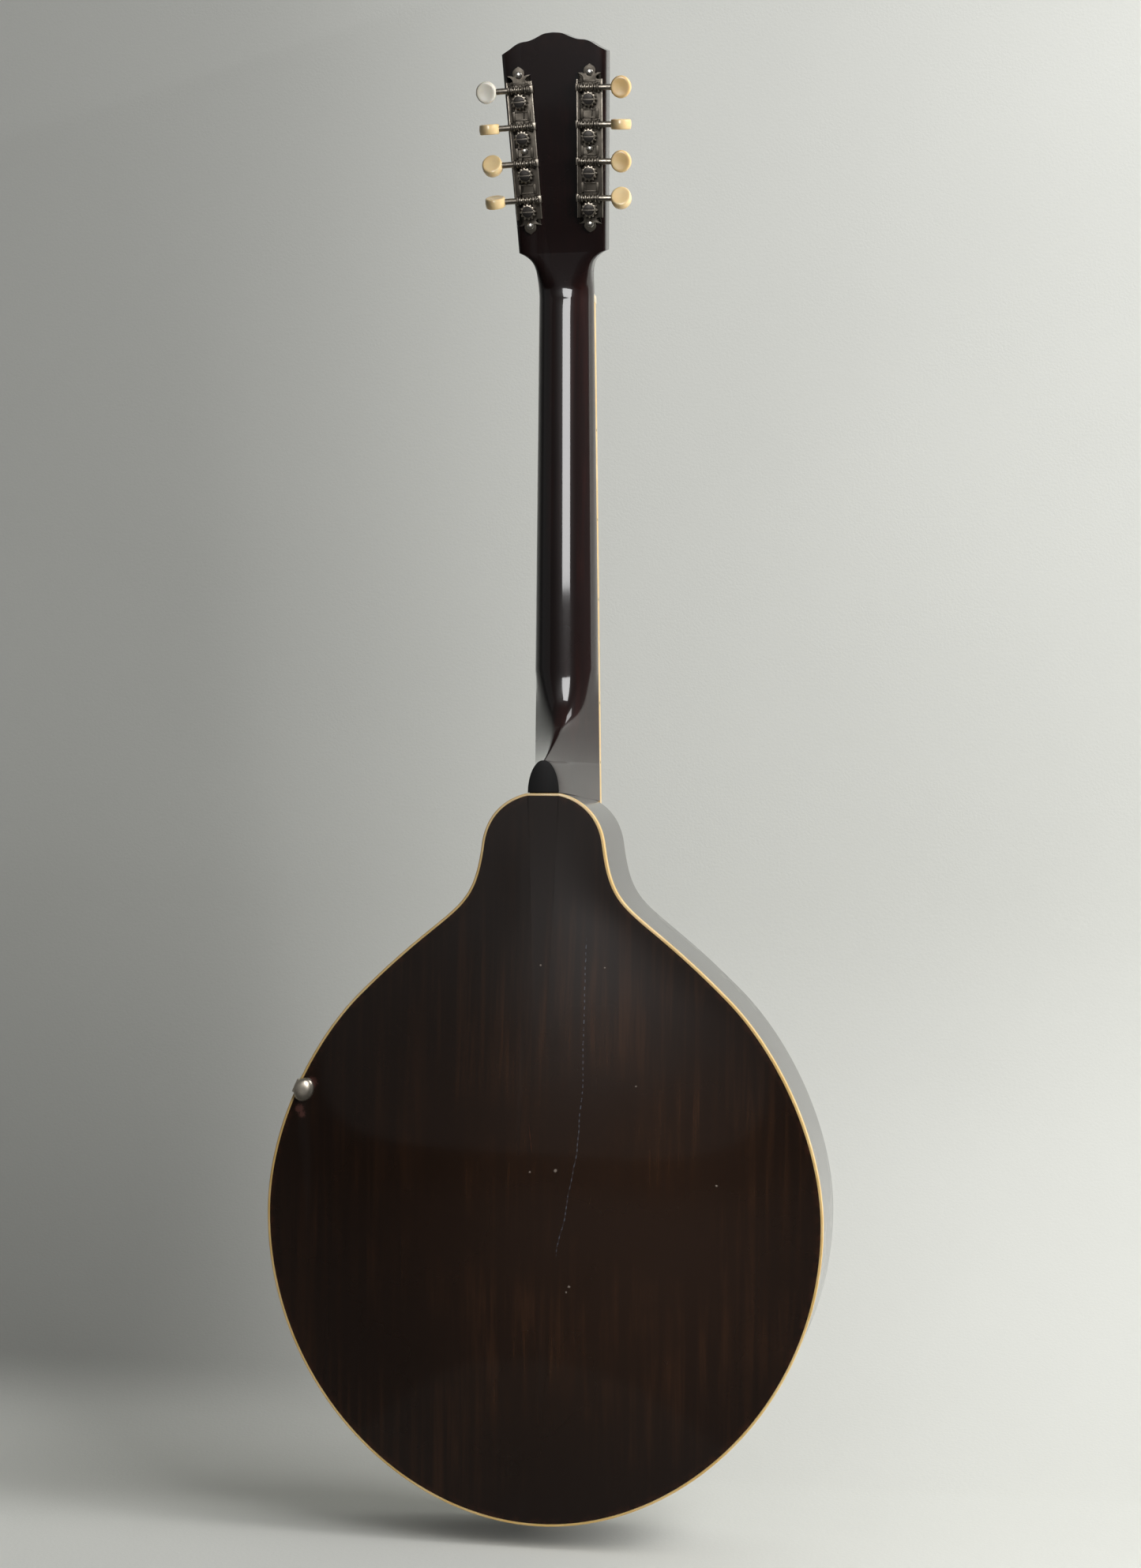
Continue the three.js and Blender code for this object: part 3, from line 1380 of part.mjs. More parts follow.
// Where a string's post stands: the outer courses go to the lower posts.
function postOf(course, member) {
  const side = course < stringDiameters.length / 2 ? -1 : 1;
  const outward = side < 0 ? course * 2 + member : strings.length - 1 - course * 2 - member;
  const i = tunersPerSide - 1 - outward;
  const centre = new THREE.Vector3(0, 0, postUp(i)).applyMatrix4(tunerFrame(side));
  return { side, centre, rise: windingRises[i] };
}

// From the tailpiece over the bridge and the nut, then round the post towards the wood.
function stringRoute({ course, member, diameter, nutX, bridgeX, tailX }) {
  const radius = diameter / 2;
  const onNut = stringFloorNut - radius;
  const { side, centre, rise } = postOf(course, member);
  const around = postWaistDiameter / 2 + seat + radius;
  const lean = Math.atan2(side * (centre.x - nutX) - around, centre.z);
  const steps = windingTurns[course] * windingSteps;
  const winding = Array.from({ length: steps + 1 }, (unused, i) => {
    const turn = i / windingSteps;
    const angle = lean + 2 * Math.PI * turn;
    return new THREE.Vector3(
      centre.x - side * around * Math.cos(angle), -rise + (diameter + windingGap) * turn,
      centre.z + around * Math.sin(angle),
    );
  });
  const last = winding[steps];
  const onward = last.clone().sub(winding[steps - 1]).normalize();
  winding.push(last.clone().addScaledVector(onward, diameter));
  return [
    new THREE.Vector3(tailX, tailFace + radius, tailSlotFoot + seat),
    new THREE.Vector3(bridgeX, stringFloorBridge - radius, bridgeHeight - bridgeCrestLength / 2),
    new THREE.Vector3(nutX, onNut, nutHeight),
    new THREE.Vector3(nutX, onNut, headStart),
    ...winding.map((point) => point.applyMatrix4(headFrame)),
  ];
}

// The least clear distance between parts of one string that aren't neighbours on its route.
function leastGap(route, diameter) {
  const fine = route.flatMap((point, i) => {
    const next = route[i + 1];
    if (!next) return [point];
    const pieces = Math.max(1, Math.min(60, Math.ceil(point.distanceTo(next) / diameter)));
    return Array.from({ length: pieces }, (unused, k) => point.clone().lerp(next, k / pieces));
  });
  const lengths = fine.map((point, i) => (i === 0 ? 0 : point.distanceTo(fine[i - 1])));
  const along = lengths.reduce((sums, length) => [...sums, sums[sums.length - 1] + length], [0]).slice(1);
  let least = Infinity;
  for (let i = 0; i < fine.length; i += 1) {
    for (let j = i + 1; j < fine.length; j += 1) {
      if (along[j] - along[i] > Math.PI * diameter) {
        least = Math.min(least, fine[i].distanceTo(fine[j]) - diameter);
      }
    }
  }
  return least;
}

// Assembly

const finishes = {
  lacquer: [0x1d0f0b, 0.16, 0],
  ribLacquer: [0x190d0a, 0.18, 0],
  neckLacquer: [0x170b08, 0.14, 0],
  soundboard: [0x2a1510, 0.22, 0],
  innerWood: [0xb08d5c, 0.75, 0],
  ebony: [0x120f0d, 0.4, 0],
  veneer: [0x0d0b0a, 0.2, 0],
  ivory: [0xcdbf95, 0.4, 0],
  bone: [0xd9d0b4, 0.45, 0],
  cream: [0xd8cdb0, 0.35, 0],
  nickel: [0xb9b6ae, 0.28, 1],
  worn: [0x9b968a, 0.38, 1],
  bronze: [0xa9824e, 0.35, 1],
  steel: [0xa8abae, 0.3, 1],
  tortoise: [0x2b120b, 0.2, 0],
};

function place(parent, name, geometry, finish) {
  const [color, roughness, metalness] = finishes[finish];
  const mesh = new THREE.Mesh(geometry, new THREE.MeshStandardMaterial({ color, roughness, metalness }));
  mesh.name = name;
  parent.add(mesh);
}

const group = new THREE.Group();
group.name = 'mandocello';
const hanger = new THREE.Vector3(0, headThickness / 2, headShoulder * hangerShare).applyMatrix4(headFrame);
group.position.copy(hanger).negate();

place(group, 'top_plate', topPlate(), 'soundboard');
place(group, 'back_plate', carvedPlate(1, backArch), 'lacquer');
place(group, 'rib_treble', rib(1), 'ribLacquer');
place(group, 'rib_bass', rib(-1), 'ribLacquer');
place(group, 'top_binding', bindingRing(-1), 'ivory');
place(group, 'back_binding', bindingRing(1), 'ivory');
place(group, 'top_lining', lining(-1), 'innerWood');
place(group, 'back_lining', lining(1), 'innerWood');
place(group, 'neck_block', neckBlock(), 'innerWood');
place(group, 'end_block', endBlock(), 'innerWood');
place(group, 'top_brace', topBrace(), 'innerWood');
place(group, 'soundhole_ring', soundHoleRing(), 'ivory');
place(group, 'neck', neck(), 'neckLacquer');
place(group, 'heel_cap', heelCap(), 'ebony');
place(group, 'fretboard', fretboard(), 'ebony');
place(group, 'fretboard_binding', boardBinding(), 'ivory');
place(group, 'nut', nut(), 'bone');
place(group, 'bridge', bridge(), 'ebony');
place(group, 'tailpiece_bracket', tailBracket(), 'nickel');
place(group, 'tailpiece_frame', tailFrame(), 'nickel');
place(group, 'tailpiece_block', tailBlock(), 'ebony');
place(group, 'end_pin', endPin(), 'ebony');
place(group, 'pickguard', pickguard(), 'tortoise');
place(group, 'pickguard_clamp', pickguardClamp(), 'nickel');
place(group, 'clamp_screw', clampScrew(), 'nickel');

const courseNames = ['c', 'g', 'd', 'a'];
strings.forEach((string) => {
  const route = stringRoute(string);
  const name = `string_${courseNames[string.course]}${string.member + 1}`;
  console.log(`${name} least gap in its winding ${leastGap(route, string.diameter).toFixed(2)} mm`);
  place(group, name, tube(route, string.diameter / 2, stringSides), string.course < 2 ? 'bronze' : 'steel');
});

const head = new THREE.Group();
head.rotation.x = -headTilt;
head.position.setFromMatrixPosition(headFrame);
group.add(head);
place(head, 'headstock_veneer', headVeneer(), 'veneer');

Object.entries(sides).forEach(([hand, side]) => {
  const tuners = new THREE.Group();
  tuners.position.setFromMatrixPosition(tunerFrame(side));
  tuners.rotation.y = side * tunerSplay;
  head.add(tuners);
  place(tuners, `tuner_plate_${hand}`, tunerPlate(), 'nickel');
  for (let i = 0; i < tunersPerSide; i += 1) {
    const tuner = new THREE.Group();
    tuner.position.z = postUp(i);
    tuners.add(tuner);
    place(tuner, `post_${hand}_${i + 1}`, gearPost(), 'worn');
    place(tuner, `worm_shaft_${hand}_${i + 1}`, wormShaft(side), 'nickel');
    place(tuner, `button_${hand}_${i + 1}`, tunerButton(side, buttonTurns[hand][i]), 'cream');
  }
});

export default group;
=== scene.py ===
import math

import bmesh
import bpy
import numpy as np
from mathutils import Matrix, Vector


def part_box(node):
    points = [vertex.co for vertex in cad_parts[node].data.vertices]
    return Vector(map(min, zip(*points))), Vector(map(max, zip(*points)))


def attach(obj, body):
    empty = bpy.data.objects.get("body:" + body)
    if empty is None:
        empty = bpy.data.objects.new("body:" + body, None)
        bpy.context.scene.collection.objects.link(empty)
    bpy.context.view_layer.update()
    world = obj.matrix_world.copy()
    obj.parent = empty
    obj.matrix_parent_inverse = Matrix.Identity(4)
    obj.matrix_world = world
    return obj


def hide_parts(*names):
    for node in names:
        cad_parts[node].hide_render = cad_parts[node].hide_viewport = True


# A mandocello seen from behind, in front of a pale paper sweep.
# Shapes are worked out in millimetres in the body's own frame: the neck points up (+z), the
# soundboard faces -y, the treble side is +x, z counts from the foot of the body and y from the
# middle of its rim. toRow() takes them into the row frame.

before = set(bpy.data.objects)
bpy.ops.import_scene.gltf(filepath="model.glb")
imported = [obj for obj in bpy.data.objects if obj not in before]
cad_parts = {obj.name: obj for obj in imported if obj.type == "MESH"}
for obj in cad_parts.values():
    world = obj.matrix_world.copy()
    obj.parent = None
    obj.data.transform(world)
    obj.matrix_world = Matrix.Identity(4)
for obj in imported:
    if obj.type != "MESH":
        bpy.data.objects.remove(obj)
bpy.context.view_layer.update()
mm = 0.001
seat = 0.3  # gap between pieces that touch
mirror = np.array([-1, 1])
print("frame loaded")


# A new object in the scene, with its -z axis along the given way if there is one
def placed(name, data, place=(0, 0, 0), way=None):
    item = bpy.data.objects.new(name, data)
    bpy.context.scene.collection.objects.link(item)
    item.location = place
    if way is not None:
        item.rotation_mode = "QUATERNION"
        item.rotation_quaternion = way.to_track_quat("-Z", "Y")
    return item


# Where the camera stands, in metres and degrees
shot = {
    "place": (-0.3095, 1.6682, -0.3518), "turn": 190.3, "rise": -0.69, "roll": 0.42, "lens": 59.1, "sensor": 36.0,
}

turn, rise, roll = (math.radians(shot[key]) for key in ("turn", "rise", "roll"))
away = Vector((math.sin(turn) * math.cos(rise), -math.cos(turn) * math.cos(rise), math.sin(rise)))
eye = placed("camera", bpy.data.cameras.new("camera"), shot["place"], -away)
eye.rotation_quaternion = eye.rotation_quaternion @ Matrix.Rotation(roll, 4, "Z").to_quaternion()
eye.data.lens, eye.data.sensor_width = shot["lens"], shot["sensor"]
bpy.context.scene.camera = eye
bpy.context.scene.view_settings.view_transform = "Standard"


# Mesh tools. A form is a pair of points and faces.


def sizeOf(node):
    low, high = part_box(node)
    return (np.array(high) - np.array(low)) / mm


backLow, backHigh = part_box("back_binding")
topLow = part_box("top_binding")[0]
bodyOrigin = np.array([(backLow.x + backHigh.x) / 2, (topLow.y + backHigh.y) / 2, backLow.z])


def toRow(points):
    return np.asarray(points, float) * mm + bodyOrigin


# The gap is added to each length, so that a vector of length 0 stays 0
def unit(vectors, gap=0.0):
    return vectors / (np.linalg.norm(vectors, axis=1, keepdims=True) + gap)


def blendOf(low, high, share):
    return low + (high - low) * share


# Points from their coordinates, which may be single values or arrays that fit together
def pointsOf(*coordinates):
    return np.stack(np.broadcast_arrays(*coordinates), -1)


# Directions in a plane, turned a quarter to the right
def rightOf(ahead):
    return pointsOf(ahead[:, 1], -ahead[:, 0])


def fullTurn(steps):
    return np.linspace(0, 2 * np.pi, steps, endpoint=False)


# A grid of quads over rows and columns of points, joined round in either direction if asked
def gridFaces(rows, columns, wrapRows=False, wrapColumns=False, start=0):
    i = np.arange(rows if wrapRows else rows - 1)[:, None]
    j = np.arange(columns if wrapColumns else columns - 1)[None, :]
    below, beside = (i + 1) % rows, (j + 1) % columns
    corners = [i * columns + j, below * columns + j, below * columns + beside, i * columns + beside]
    return (np.stack(corners, -1).reshape(-1, 4) + start).tolist()


# A grid that closes on itself both ways, such as a ring with a section
def closedForm(grid):
    return grid, gridFaces(*grid.shape[:2], True, True)


# Rings of points closed round and capped at both ends
def loft(rings):
    rows, columns = rings.shape[:2]
    faces = gridFaces(rows, columns, wrapColumns=True)
    first, last = np.arange(columns)[::-1], (rows - 1) * columns + np.arange(columns)
    return rings.reshape(-1, 3), [*faces, first.tolist(), last.tolist()]


def together(forms):
    points, faces, start = [], [], 0
    for formPoints, formFaces in forms:
        points.append(np.asarray(formPoints, float).reshape(-1, 3))
        faces += [[corner + start for corner in face] for face in formFaces]
        start += len(points[-1])
    return np.concatenate(points), faces


# One mesh object. Doubles are merged, faces turned outwards and sharp edges kept. It has the
# finish of its slot unless another is given.
def newPiece(name, form, slotName, node=None, finish=None, body="body", sharp=35, along=None):
    points, faces = form
    mesh = bpy.data.meshes.new(name)
    mesh.from_pydata(toRow(points).reshape(-1, 3).tolist(), [], [list(dict.fromkeys(face)) for face in faces])
    if along is not None:
        attribute = mesh.attributes.new("along", "FLOAT", "POINT")
        attribute.data.foreach_set("value", np.asarray(along, np.float32).ravel())
    solid = bmesh.new()
    solid.from_mesh(mesh)
    bmesh.ops.remove_doubles(solid, verts=solid.verts, dist=2e-6)
    bmesh.ops.recalc_face_normals(solid, faces=solid.faces)
    solid.to_mesh(mesh)
    solid.free()
    mesh.shade_smooth()
    mesh.set_sharp_from_angle(angle=math.radians(sharp))
    piece = placed(name, mesh)
    mesh.materials.append(finish or finishes[slotName])
    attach(piece, body)
    if node:
        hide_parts(node)


# A profile of (radius, height) turned about the y axis
def turned(profile, segments, flatten=1.0):
    profile = np.asarray(profile, float)
    angle = fullTurn(segments)
    radius, height = profile[:, :1], profile[:, 1:]
    rings = pointsOf(radius * np.cos(angle) * flatten, height, radius * np.sin(angle))
    return rings.reshape(-1, 3), gridFaces(len(profile), segments, wrapColumns=True)


# Round sections along a route: each is spanned by the two given directions
def tube(route, radius, sides, first, second):
    angle = fullTurn(sides)[None, :, None]
    return route[:, None] + radius * (np.cos(angle) * first[:, None] + np.sin(angle) * second[:, None])


# A closed plan outline (x, z) raised from one depth to another, its two edges rounded by a bevel
def slab(outline, near, far, bevel):
    outline = np.asarray(outline, float)
    ahead = unit(np.roll(outline, -1, 0) - outline)
    bisector = unit(ahead + np.roll(ahead, 1, 0), 1e-9)
    area = np.sum(outline[:, 0] * np.roll(outline[:, 1], -1) - np.roll(outline[:, 0], -1) * outline[:, 1])
    outward = rightOf(bisector) * np.sign(area)
    quarter = np.linspace(0, np.pi / 2, 4)
    inset = bevel * (1 - np.sin(np.concatenate([quarter, quarter[::-1]])))
    rounding = bevel * (1 - np.cos(quarter))
    depth = np.concatenate([near + rounding, far - rounding[::-1]])
    plan = outline[None] - inset[:, None, None] * outward[None]
    return loft(pointsOf(plan[..., 0], depth[:, None], plan[..., 1]))


def box(x0, x1, y0, y1, z0, z1, bevel=0.25):
    return slab([(x0, z0), (x1, z0), (x1, z1), (x0, z1)], y0, y1, bevel)


# A rounded corner: a quadratic curve that starts and ends at some reach from it
def bend(before, corner, after, reach, steps):
    t = np.linspace(0, 1, steps)[:, None]
    first, last = (corner + reach * (end - corner) / np.linalg.norm(end - corner) for end in (before, after))
    return (1 - t) ** 2 * first + 2 * t * (1 - t) * corner + t**2 * last


# A flat strip with rounded edges that follows a side view (x, y) and is wide along z
def strip(path, width, thickness, edge):
    ahead = unit(np.gradient(path, axis=0))
    normal = -rightOf(ahead)
    half, deep = width / 2, thickness / 2
    section = np.array([
        [-half + edge, -deep], [half - edge, -deep], [half, -deep + edge], [half, deep - edge],
        [half - edge, deep], [-half + edge, deep], [-half, deep - edge], [-half, -deep + edge],
    ])
    flat = path[:, None] + section[None, :, 1:] * normal[:, None]
    return loft(pointsOf(flat[..., 0], flat[..., 1], section[None, :, 0]))


# A uniform Catmull-Rom curve through the given points
def splineThrough(points, steps):
    points = np.asarray(points, float)
    t = np.linspace(0, 1, steps, endpoint=False)[:, None]
    spread = np.concatenate([points[:1], points, points[-1:]])
    runs = [
        (2 * b - 2 * c + (c - a) / 2 + (d - b) / 2) * t**3
        + (3 * c - 3 * b - (c - a) - (d - b) / 2) * t**2 + (c - a) / 2 * t + b
        for a, b, c, d in zip(spread[:-3], spread[1:-2], spread[2:-1], spread[3:])
    ]
    return np.concatenate([*runs, points[-1:]])


def moved(form, matrix):
    return form[0] @ matrix[:3, :3].T + matrix[:3, 3], form[1]


def shifted(form, offset):
    return form[0] + np.asarray(offset, float), form[1]


# Matrices that turn about x or y and then move to a place
def turnX(angle, place=(0, 0, 0)):
    cosine, sine = np.cos(angle), np.sin(angle)
    x, y, z = place
    return np.array([[1, 0, 0, x], [0, cosine, -sine, y], [0, sine, cosine, z], [0, 0, 0, 1]])


def turnY(angle, place=(0, 0, 0)):
    cosine, sine = np.cos(angle), np.sin(angle)
    x, y, z = place
    return np.array([[cosine, 0, sine, x], [0, 1, 0, y], [-sine, 0, cosine, z], [0, 0, 0, 1]])


# Material tools: the nodes of one tree. What a method gives back can feed the next one.


class Shading:
    def __init__(self, tree):
        self.tree = tree

    def feed(self, socket, value):
        if isinstance(value, bpy.types.NodeSocket):
            self.tree.links.new(value, socket)
        else:
            socket.default_value = (*value, 1.0) if socket.type == "RGBA" else value

    def node(self, kind, values=None, **settings):
        node = self.tree.nodes.new("ShaderNode" + kind)
        for key, value in settings.items():
            setattr(node, key, value)
        for key, value in (values or {}).items():
            self.feed(node.inputs[key], value)
        return node.outputs

    def group(self, tree, **values):
        return self.node("Group", values, node_tree=tree)

    def here(self):
        return self.node("TexCoord")["Object"]

    def drawn(self, vector, scale, rotation=(0, 0, 0), location=(0, 0, 0)):
        values = {"Vector": vector, "Location": location, "Rotation": rotation, "Scale": scale}
        return self.node("Mapping", values)[0]

    def noise(self, vector, scale, detail=2.0, rough=0.5, distortion=0.0):
        values = {"Vector": vector, "Scale": scale, "Detail": detail, "Roughness": rough}
        return self.node("TexNoise", {**values, "Distortion": distortion})[0]

    def math(self, operation, first, *others):
        for other in others:
            first = self.node("Math", {0: first, 1: other}, operation=operation)[0]
        return first

    def times(self, *values):
        return self.math("MULTIPLY", *values)

    def plus(self, *values):
        return self.math("ADD", *values)

    # Eased from 0 at one limit to 1 at the other
    def mask(self, value, low, high):
        values = {"Value": value, "From Min": low, "From Max": high}
        return self.node("MapRange", values, interpolation_type="SMOOTHSTEP")["Result"]

    # The middle of a noise spread over a range
    def spread(self, value, low, high):
        values = {"Value": value, "From Min": 0.3, "From Max": 0.7, "To Min": low, "To Max": high}
        return self.node("MapRange", values)["Result"]

    def mix(self, factor, first, second):
        return self.node("Mix", {0: factor, 6: first, 7: second}, data_type="RGBA")[2]


def newGroup(name, inputs):
    tree = bpy.data.node_groups.new(name, "ShaderNodeTree")
    for label, value in inputs.items():
        socket = tree.interface.new_socket(name=label, in_out="INPUT", socket_type="NodeSocketFloat")
        socket.default_value = value
    return Shading(tree), tree.nodes.new("NodeGroupInput").outputs


def endGroup(shade, results):
    for label in results:
        shade.tree.interface.new_socket(name=label, in_out="OUTPUT", socket_type="NodeSocketFloat")
    out = shade.tree.nodes.new("NodeGroupOutput")
    for label, value in results.items():
        shade.feed(out.inputs[label], value)
    return shade.tree


# Long figure of wood: noise drawn out along z, with finer pores and slow clouds of colour
def figureGroup():
    shade, given = newGroup("woodFigure", {"streakScale": 60.0, "cloudScale": 7.0})
    place = shade.here()
    return endGroup(shade, {
        "streaks": shade.noise(shade.drawn(place, (1.0, 0.35, 0.035)), given["streakScale"], 6.0, 0.62, 0.4),
        "clouds": shade.noise(place, given["cloudScale"], 4.0, 0.55),
        "pores": shade.noise(shade.drawn(place, (1.0, 1.0, 0.02)), 900.0),
    })


# Handling marks: fine scratches in two directions, dust-like specks, a slow haze
def wearGroup():
    shade, given = newGroup("handling", {"scratchScale": 26.0, "speckScale": 420.0})
    place = shade.here()
    leaning = [shade.drawn(place, (1.0, 0.2, 0.05), (0.0, spin, 0.0)) for spin in (0.35, 1.9)]
    lines = [shade.mask(shade.noise(lean, given["scratchScale"], 3.0, 0.8), 0.66, 0.72) for lean in leaning]
    specks = shade.node("TexVoronoi", {"Vector": place, "Scale": given["speckScale"]})["Distance"]
    return endGroup(shade, {
        "scratches": shade.math("MAXIMUM", *lines), "specks": shade.mask(specks, 0.12, 0.02),
        "haze": shade.noise(place, 5.0, 5.0, 0.6),
    })


# Where a surface turns outwards sharply the finish is rubbed thin
def edgeGroup():
    shade, given = newGroup("rubbedEdges", {"start": 0.53, "full": 0.6})
    sharpness = shade.node("NewGeometry")["Pointiness"]
    values = {"Value": sharpness, "From Min": given["start"], "From Max": given["full"]}
    reach = shade.node("MapRange", values)["Result"]
    patches = shade.mask(shade.noise(shade.here(), 160.0, 4.0), 0.4, 0.62)
    return endGroup(shade, {"worn": shade.times(reach, patches)})


woodFigure, handling, rubbedEdges = figureGroup(), wearGroup(), edgeGroup()


def newMaterial(name, **settings):
    material = bpy.data.materials.new(name)
    material.use_nodes = True
    shader = material.node_tree.nodes["Principled BSDF"]
    for key, value in settings.items():
        shader.inputs[key].default_value = value
    return material, Shading(material.node_tree)


# Colour, roughness and relief, each a value or what a node gives
def dressed(material, tone, rough, height, depth):
    shade, shader = Shading(material.node_tree), material.node_tree.nodes["Principled BSDF"].inputs
    relief = shade.node("Bump", {"Height": height, "Distance": depth})[0]
    for key, value in (("Base Color", tone), ("Roughness", rough), ("Normal", relief)):
        shade.feed(shader[key], value)
    return material


gloss = {
    "coat": 0.06, "pores": 0.3, "worn": 0.5, "streaks": 190.0, "clouds": 9.0, "warmth": 0.6, "rough": (0.22, 0.36),
    "sheen": 0.12, "depth": 0.00006,
}


# Dark gloss lacquer over figured wood
def lacquer(name, dark, warm, **changes):
    look = {**gloss, **changes}
    settings = {"Coat Weight": 1.0, "Coat Roughness": look["coat"], "Specular IOR Level": look["sheen"]}
    material, shade = newMaterial(name, **settings)
    figure = shade.group(woodFigure, streakScale=look["streaks"], cloudScale=look["clouds"])
    marks, edges = shade.group(handling), shade.group(rubbedEdges)
    streaks, clouds = shade.mask(figure["streaks"], 0.42, 0.72), shade.mask(figure["clouds"], 0.36, 0.64)
    tone = shade.mix(shade.times(streaks, clouds, look["warmth"]), dark, warm)
    tone = shade.mix(shade.times(marks["specks"], 0.12), tone, (0.12, 0.09, 0.07))
    tone = shade.mix(shade.times(edges["worn"], look["worn"]), tone, (0.09, 0.03, 0.015))
    rough = shade.plus(shade.spread(marks["haze"], *look["rough"]), shade.times(marks["scratches"], 0.12))
    height = shade.plus(shade.times(figure["pores"], look["pores"]), shade.times(marks["haze"], 1.5))
    return dressed(material, tone, rough, height, look["depth"])


# Plain wood, waxed or bare: ebony, spruce and maple inside
def wood(name, dark, light, rough, depth, streaks=140.0, **settings):
    material, shade = newMaterial(name, **settings)
    figure = shade.group(woodFigure, streakScale=streaks, cloudScale=12.0)
    tone = shade.mix(shade.mask(figure["streaks"], 0.35, 0.7), dark, light)
    tone = shade.mix(shade.times(shade.group(rubbedEdges)["worn"], 0.4), tone, light)
    roughness = shade.spread(figure["clouds"], rough - 0.08, rough + 0.08)
    return dressed(material, tone, roughness, figure["pores"], depth)


# Aged celluloid and bone: slow yellowing, faint grain, small dark scuffs
def celluloid(name, pale, yellow, rough):
    settings = {"Subsurface Weight": 0.08, "Subsurface Scale": 0.002, "Coat Weight": 0.4, "Coat Roughness": 0.12}
    material, shade = newMaterial(name, **settings)
    figure = shade.group(woodFigure, streakScale=240.0, cloudScale=38.0)
    marks, edges = shade.group(handling, scratchScale=60.0, speckScale=700.0), shade.group(rubbedEdges)
    tone = shade.mix(shade.mask(figure["clouds"], 0.36, 0.66), pale, yellow)
    tone = shade.mix(shade.times(shade.mask(figure["streaks"], 0.5, 0.75), 0.3), tone, yellow)
    tone = shade.mix(shade.times(marks["scratches"], 0.22), tone, (0.3, 0.2, 0.1))
    tone = shade.mix(shade.times(edges["worn"], 0.25), tone, (0.5, 0.36, 0.2))
    roughness = shade.spread(marks["haze"], rough - 0.07, rough + 0.1)
    return dressed(material, tone, roughness, figure["clouds"], 0.00012)


# Plated metal with tarnish in patches, dirt in its hollows, rubbed edges and fine brushing
def metal(name, bright, tarnish, rough, tarnishing=0.6):
    material, shade = newMaterial(name, Metallic=1.0)
    place = shade.here()
    marks = shade.group(handling, scratchScale=90.0, speckScale=900.0)
    edges = shade.group(rubbedEdges, start=0.5, full=0.56)
    dull = shade.times(shade.mask(shade.noise(place, 220.0, 5.0, 0.65), 0.35, 0.65), tarnishing)
    hollow = shade.mask(shade.node("NewGeometry")["Pointiness"], 0.49, 0.43)
    tone = shade.mix(edges["worn"], shade.mix(dull, bright, tarnish), bright)
    tone = shade.mix(shade.times(hollow, 0.8), tone, (0.02, 0.017, 0.014))
    brushing = shade.noise(shade.drawn(place, (1.0, 1.0, 0.06)), 900.0)
    roughness = shade.plus(shade.times(dull, 0.18), shade.times(marks["scratches"], 0.1), rough)
    return dressed(material, tone, roughness, brushing, 0.00002)


# A string: plain wire, or a wrap whose turns follow the string's own length
def stringMaterial(name, bright, tarnish, wrap):
    material, shade = newMaterial(name, Metallic=1.0)
    spots = shade.noise(shade.here(), 90.0, 4.0)
    height, depth = spots, 0.00001
    if wrap:
        along = shade.node("Attribute", attribute_name="along")["Fac"]
        height, depth = shade.math("SINE", shade.times(along, 2 * math.pi / wrap), 0.0), wrap * mm * 0.35
    return dressed(material, shade.mix(shade.mask(spots, 0.4, 0.7), bright, tarnish), 0.34, height, depth)


# Dark tortoise-coloured celluloid: red-brown clouds in near black
def tortoiseMaterial():
    material, shade = newMaterial("tortoise", **{"Coat Weight": 0.8, "Coat Roughness": 0.06})
    clouds = shade.mask(shade.noise(shade.here(), 70.0, 4.0, 0.5, 1.2), 0.45, 0.68)
    tone = shade.mix(clouds, (0.02, 0.008, 0.005), (0.13, 0.034, 0.012))
    return dressed(material, tone, 0.25, shade.group(handling)["haze"], 0.00008)


# Marks the photograph shows on the back, in metres in the row frame: a dotted scratch that runs down
# the middle and bends away, chips and rubbed finish beside the clamp, both of (x, z, radius). The
# back's colour is lighter in the middle and darker towards the rim, inside an oval with the given centre and
# stretch.
backMarks = {
    "scratchTop": -0.428, "scratchFoot": -0.632, "scratchX": -0.0306, "scratchWidth": 0.0004, "dotsEnd": -0.545,
    "bendStart": -0.505, "bend": 0.549, "bendPower": 1.7, "waver": 0.0035, "dotBeat": 1500.0, "fade": 0.01,
    "chips": [
        (0.0044, -0.5769, 0.0011), (-0.0118, -0.5756, 0.0016), (-0.0207, -0.6483, 0.0012),
        (-0.019, -0.652, 0.0008), (-0.113, -0.583, 0.0011), (-0.062, -0.522, 0.0009), (0.0, -0.447, 0.0009),
        (-0.041, -0.448, 0.0009),
    ],
    "rubbed": [(0.1508, -0.5255, 0.0042), (0.1585, -0.5425, 0.0034), (0.1568, -0.546, 0.0026)],
    "warmPlace": (0.16, 0.0, 3.0), "warmStretch": (5.4, 0.0, 5.0), "warmEdge": (1.05, 0.25), "warmth": (0.55, 0.6),
}


def spotsMask(shade, flat, ragged, spots, softness):
    found = []
    for x, z, radius in spots:
        gap = shade.node("VectorMath", {0: flat, 1: (x, 0.0, z)}, operation="DISTANCE")["Value"]
        gap = shade.plus(gap, shade.times(ragged, radius * 1.4))
        found.append(shade.mask(gap, radius * (1.25 + softness), radius * 1.1))
    return shade.math("MAXIMUM", *found)


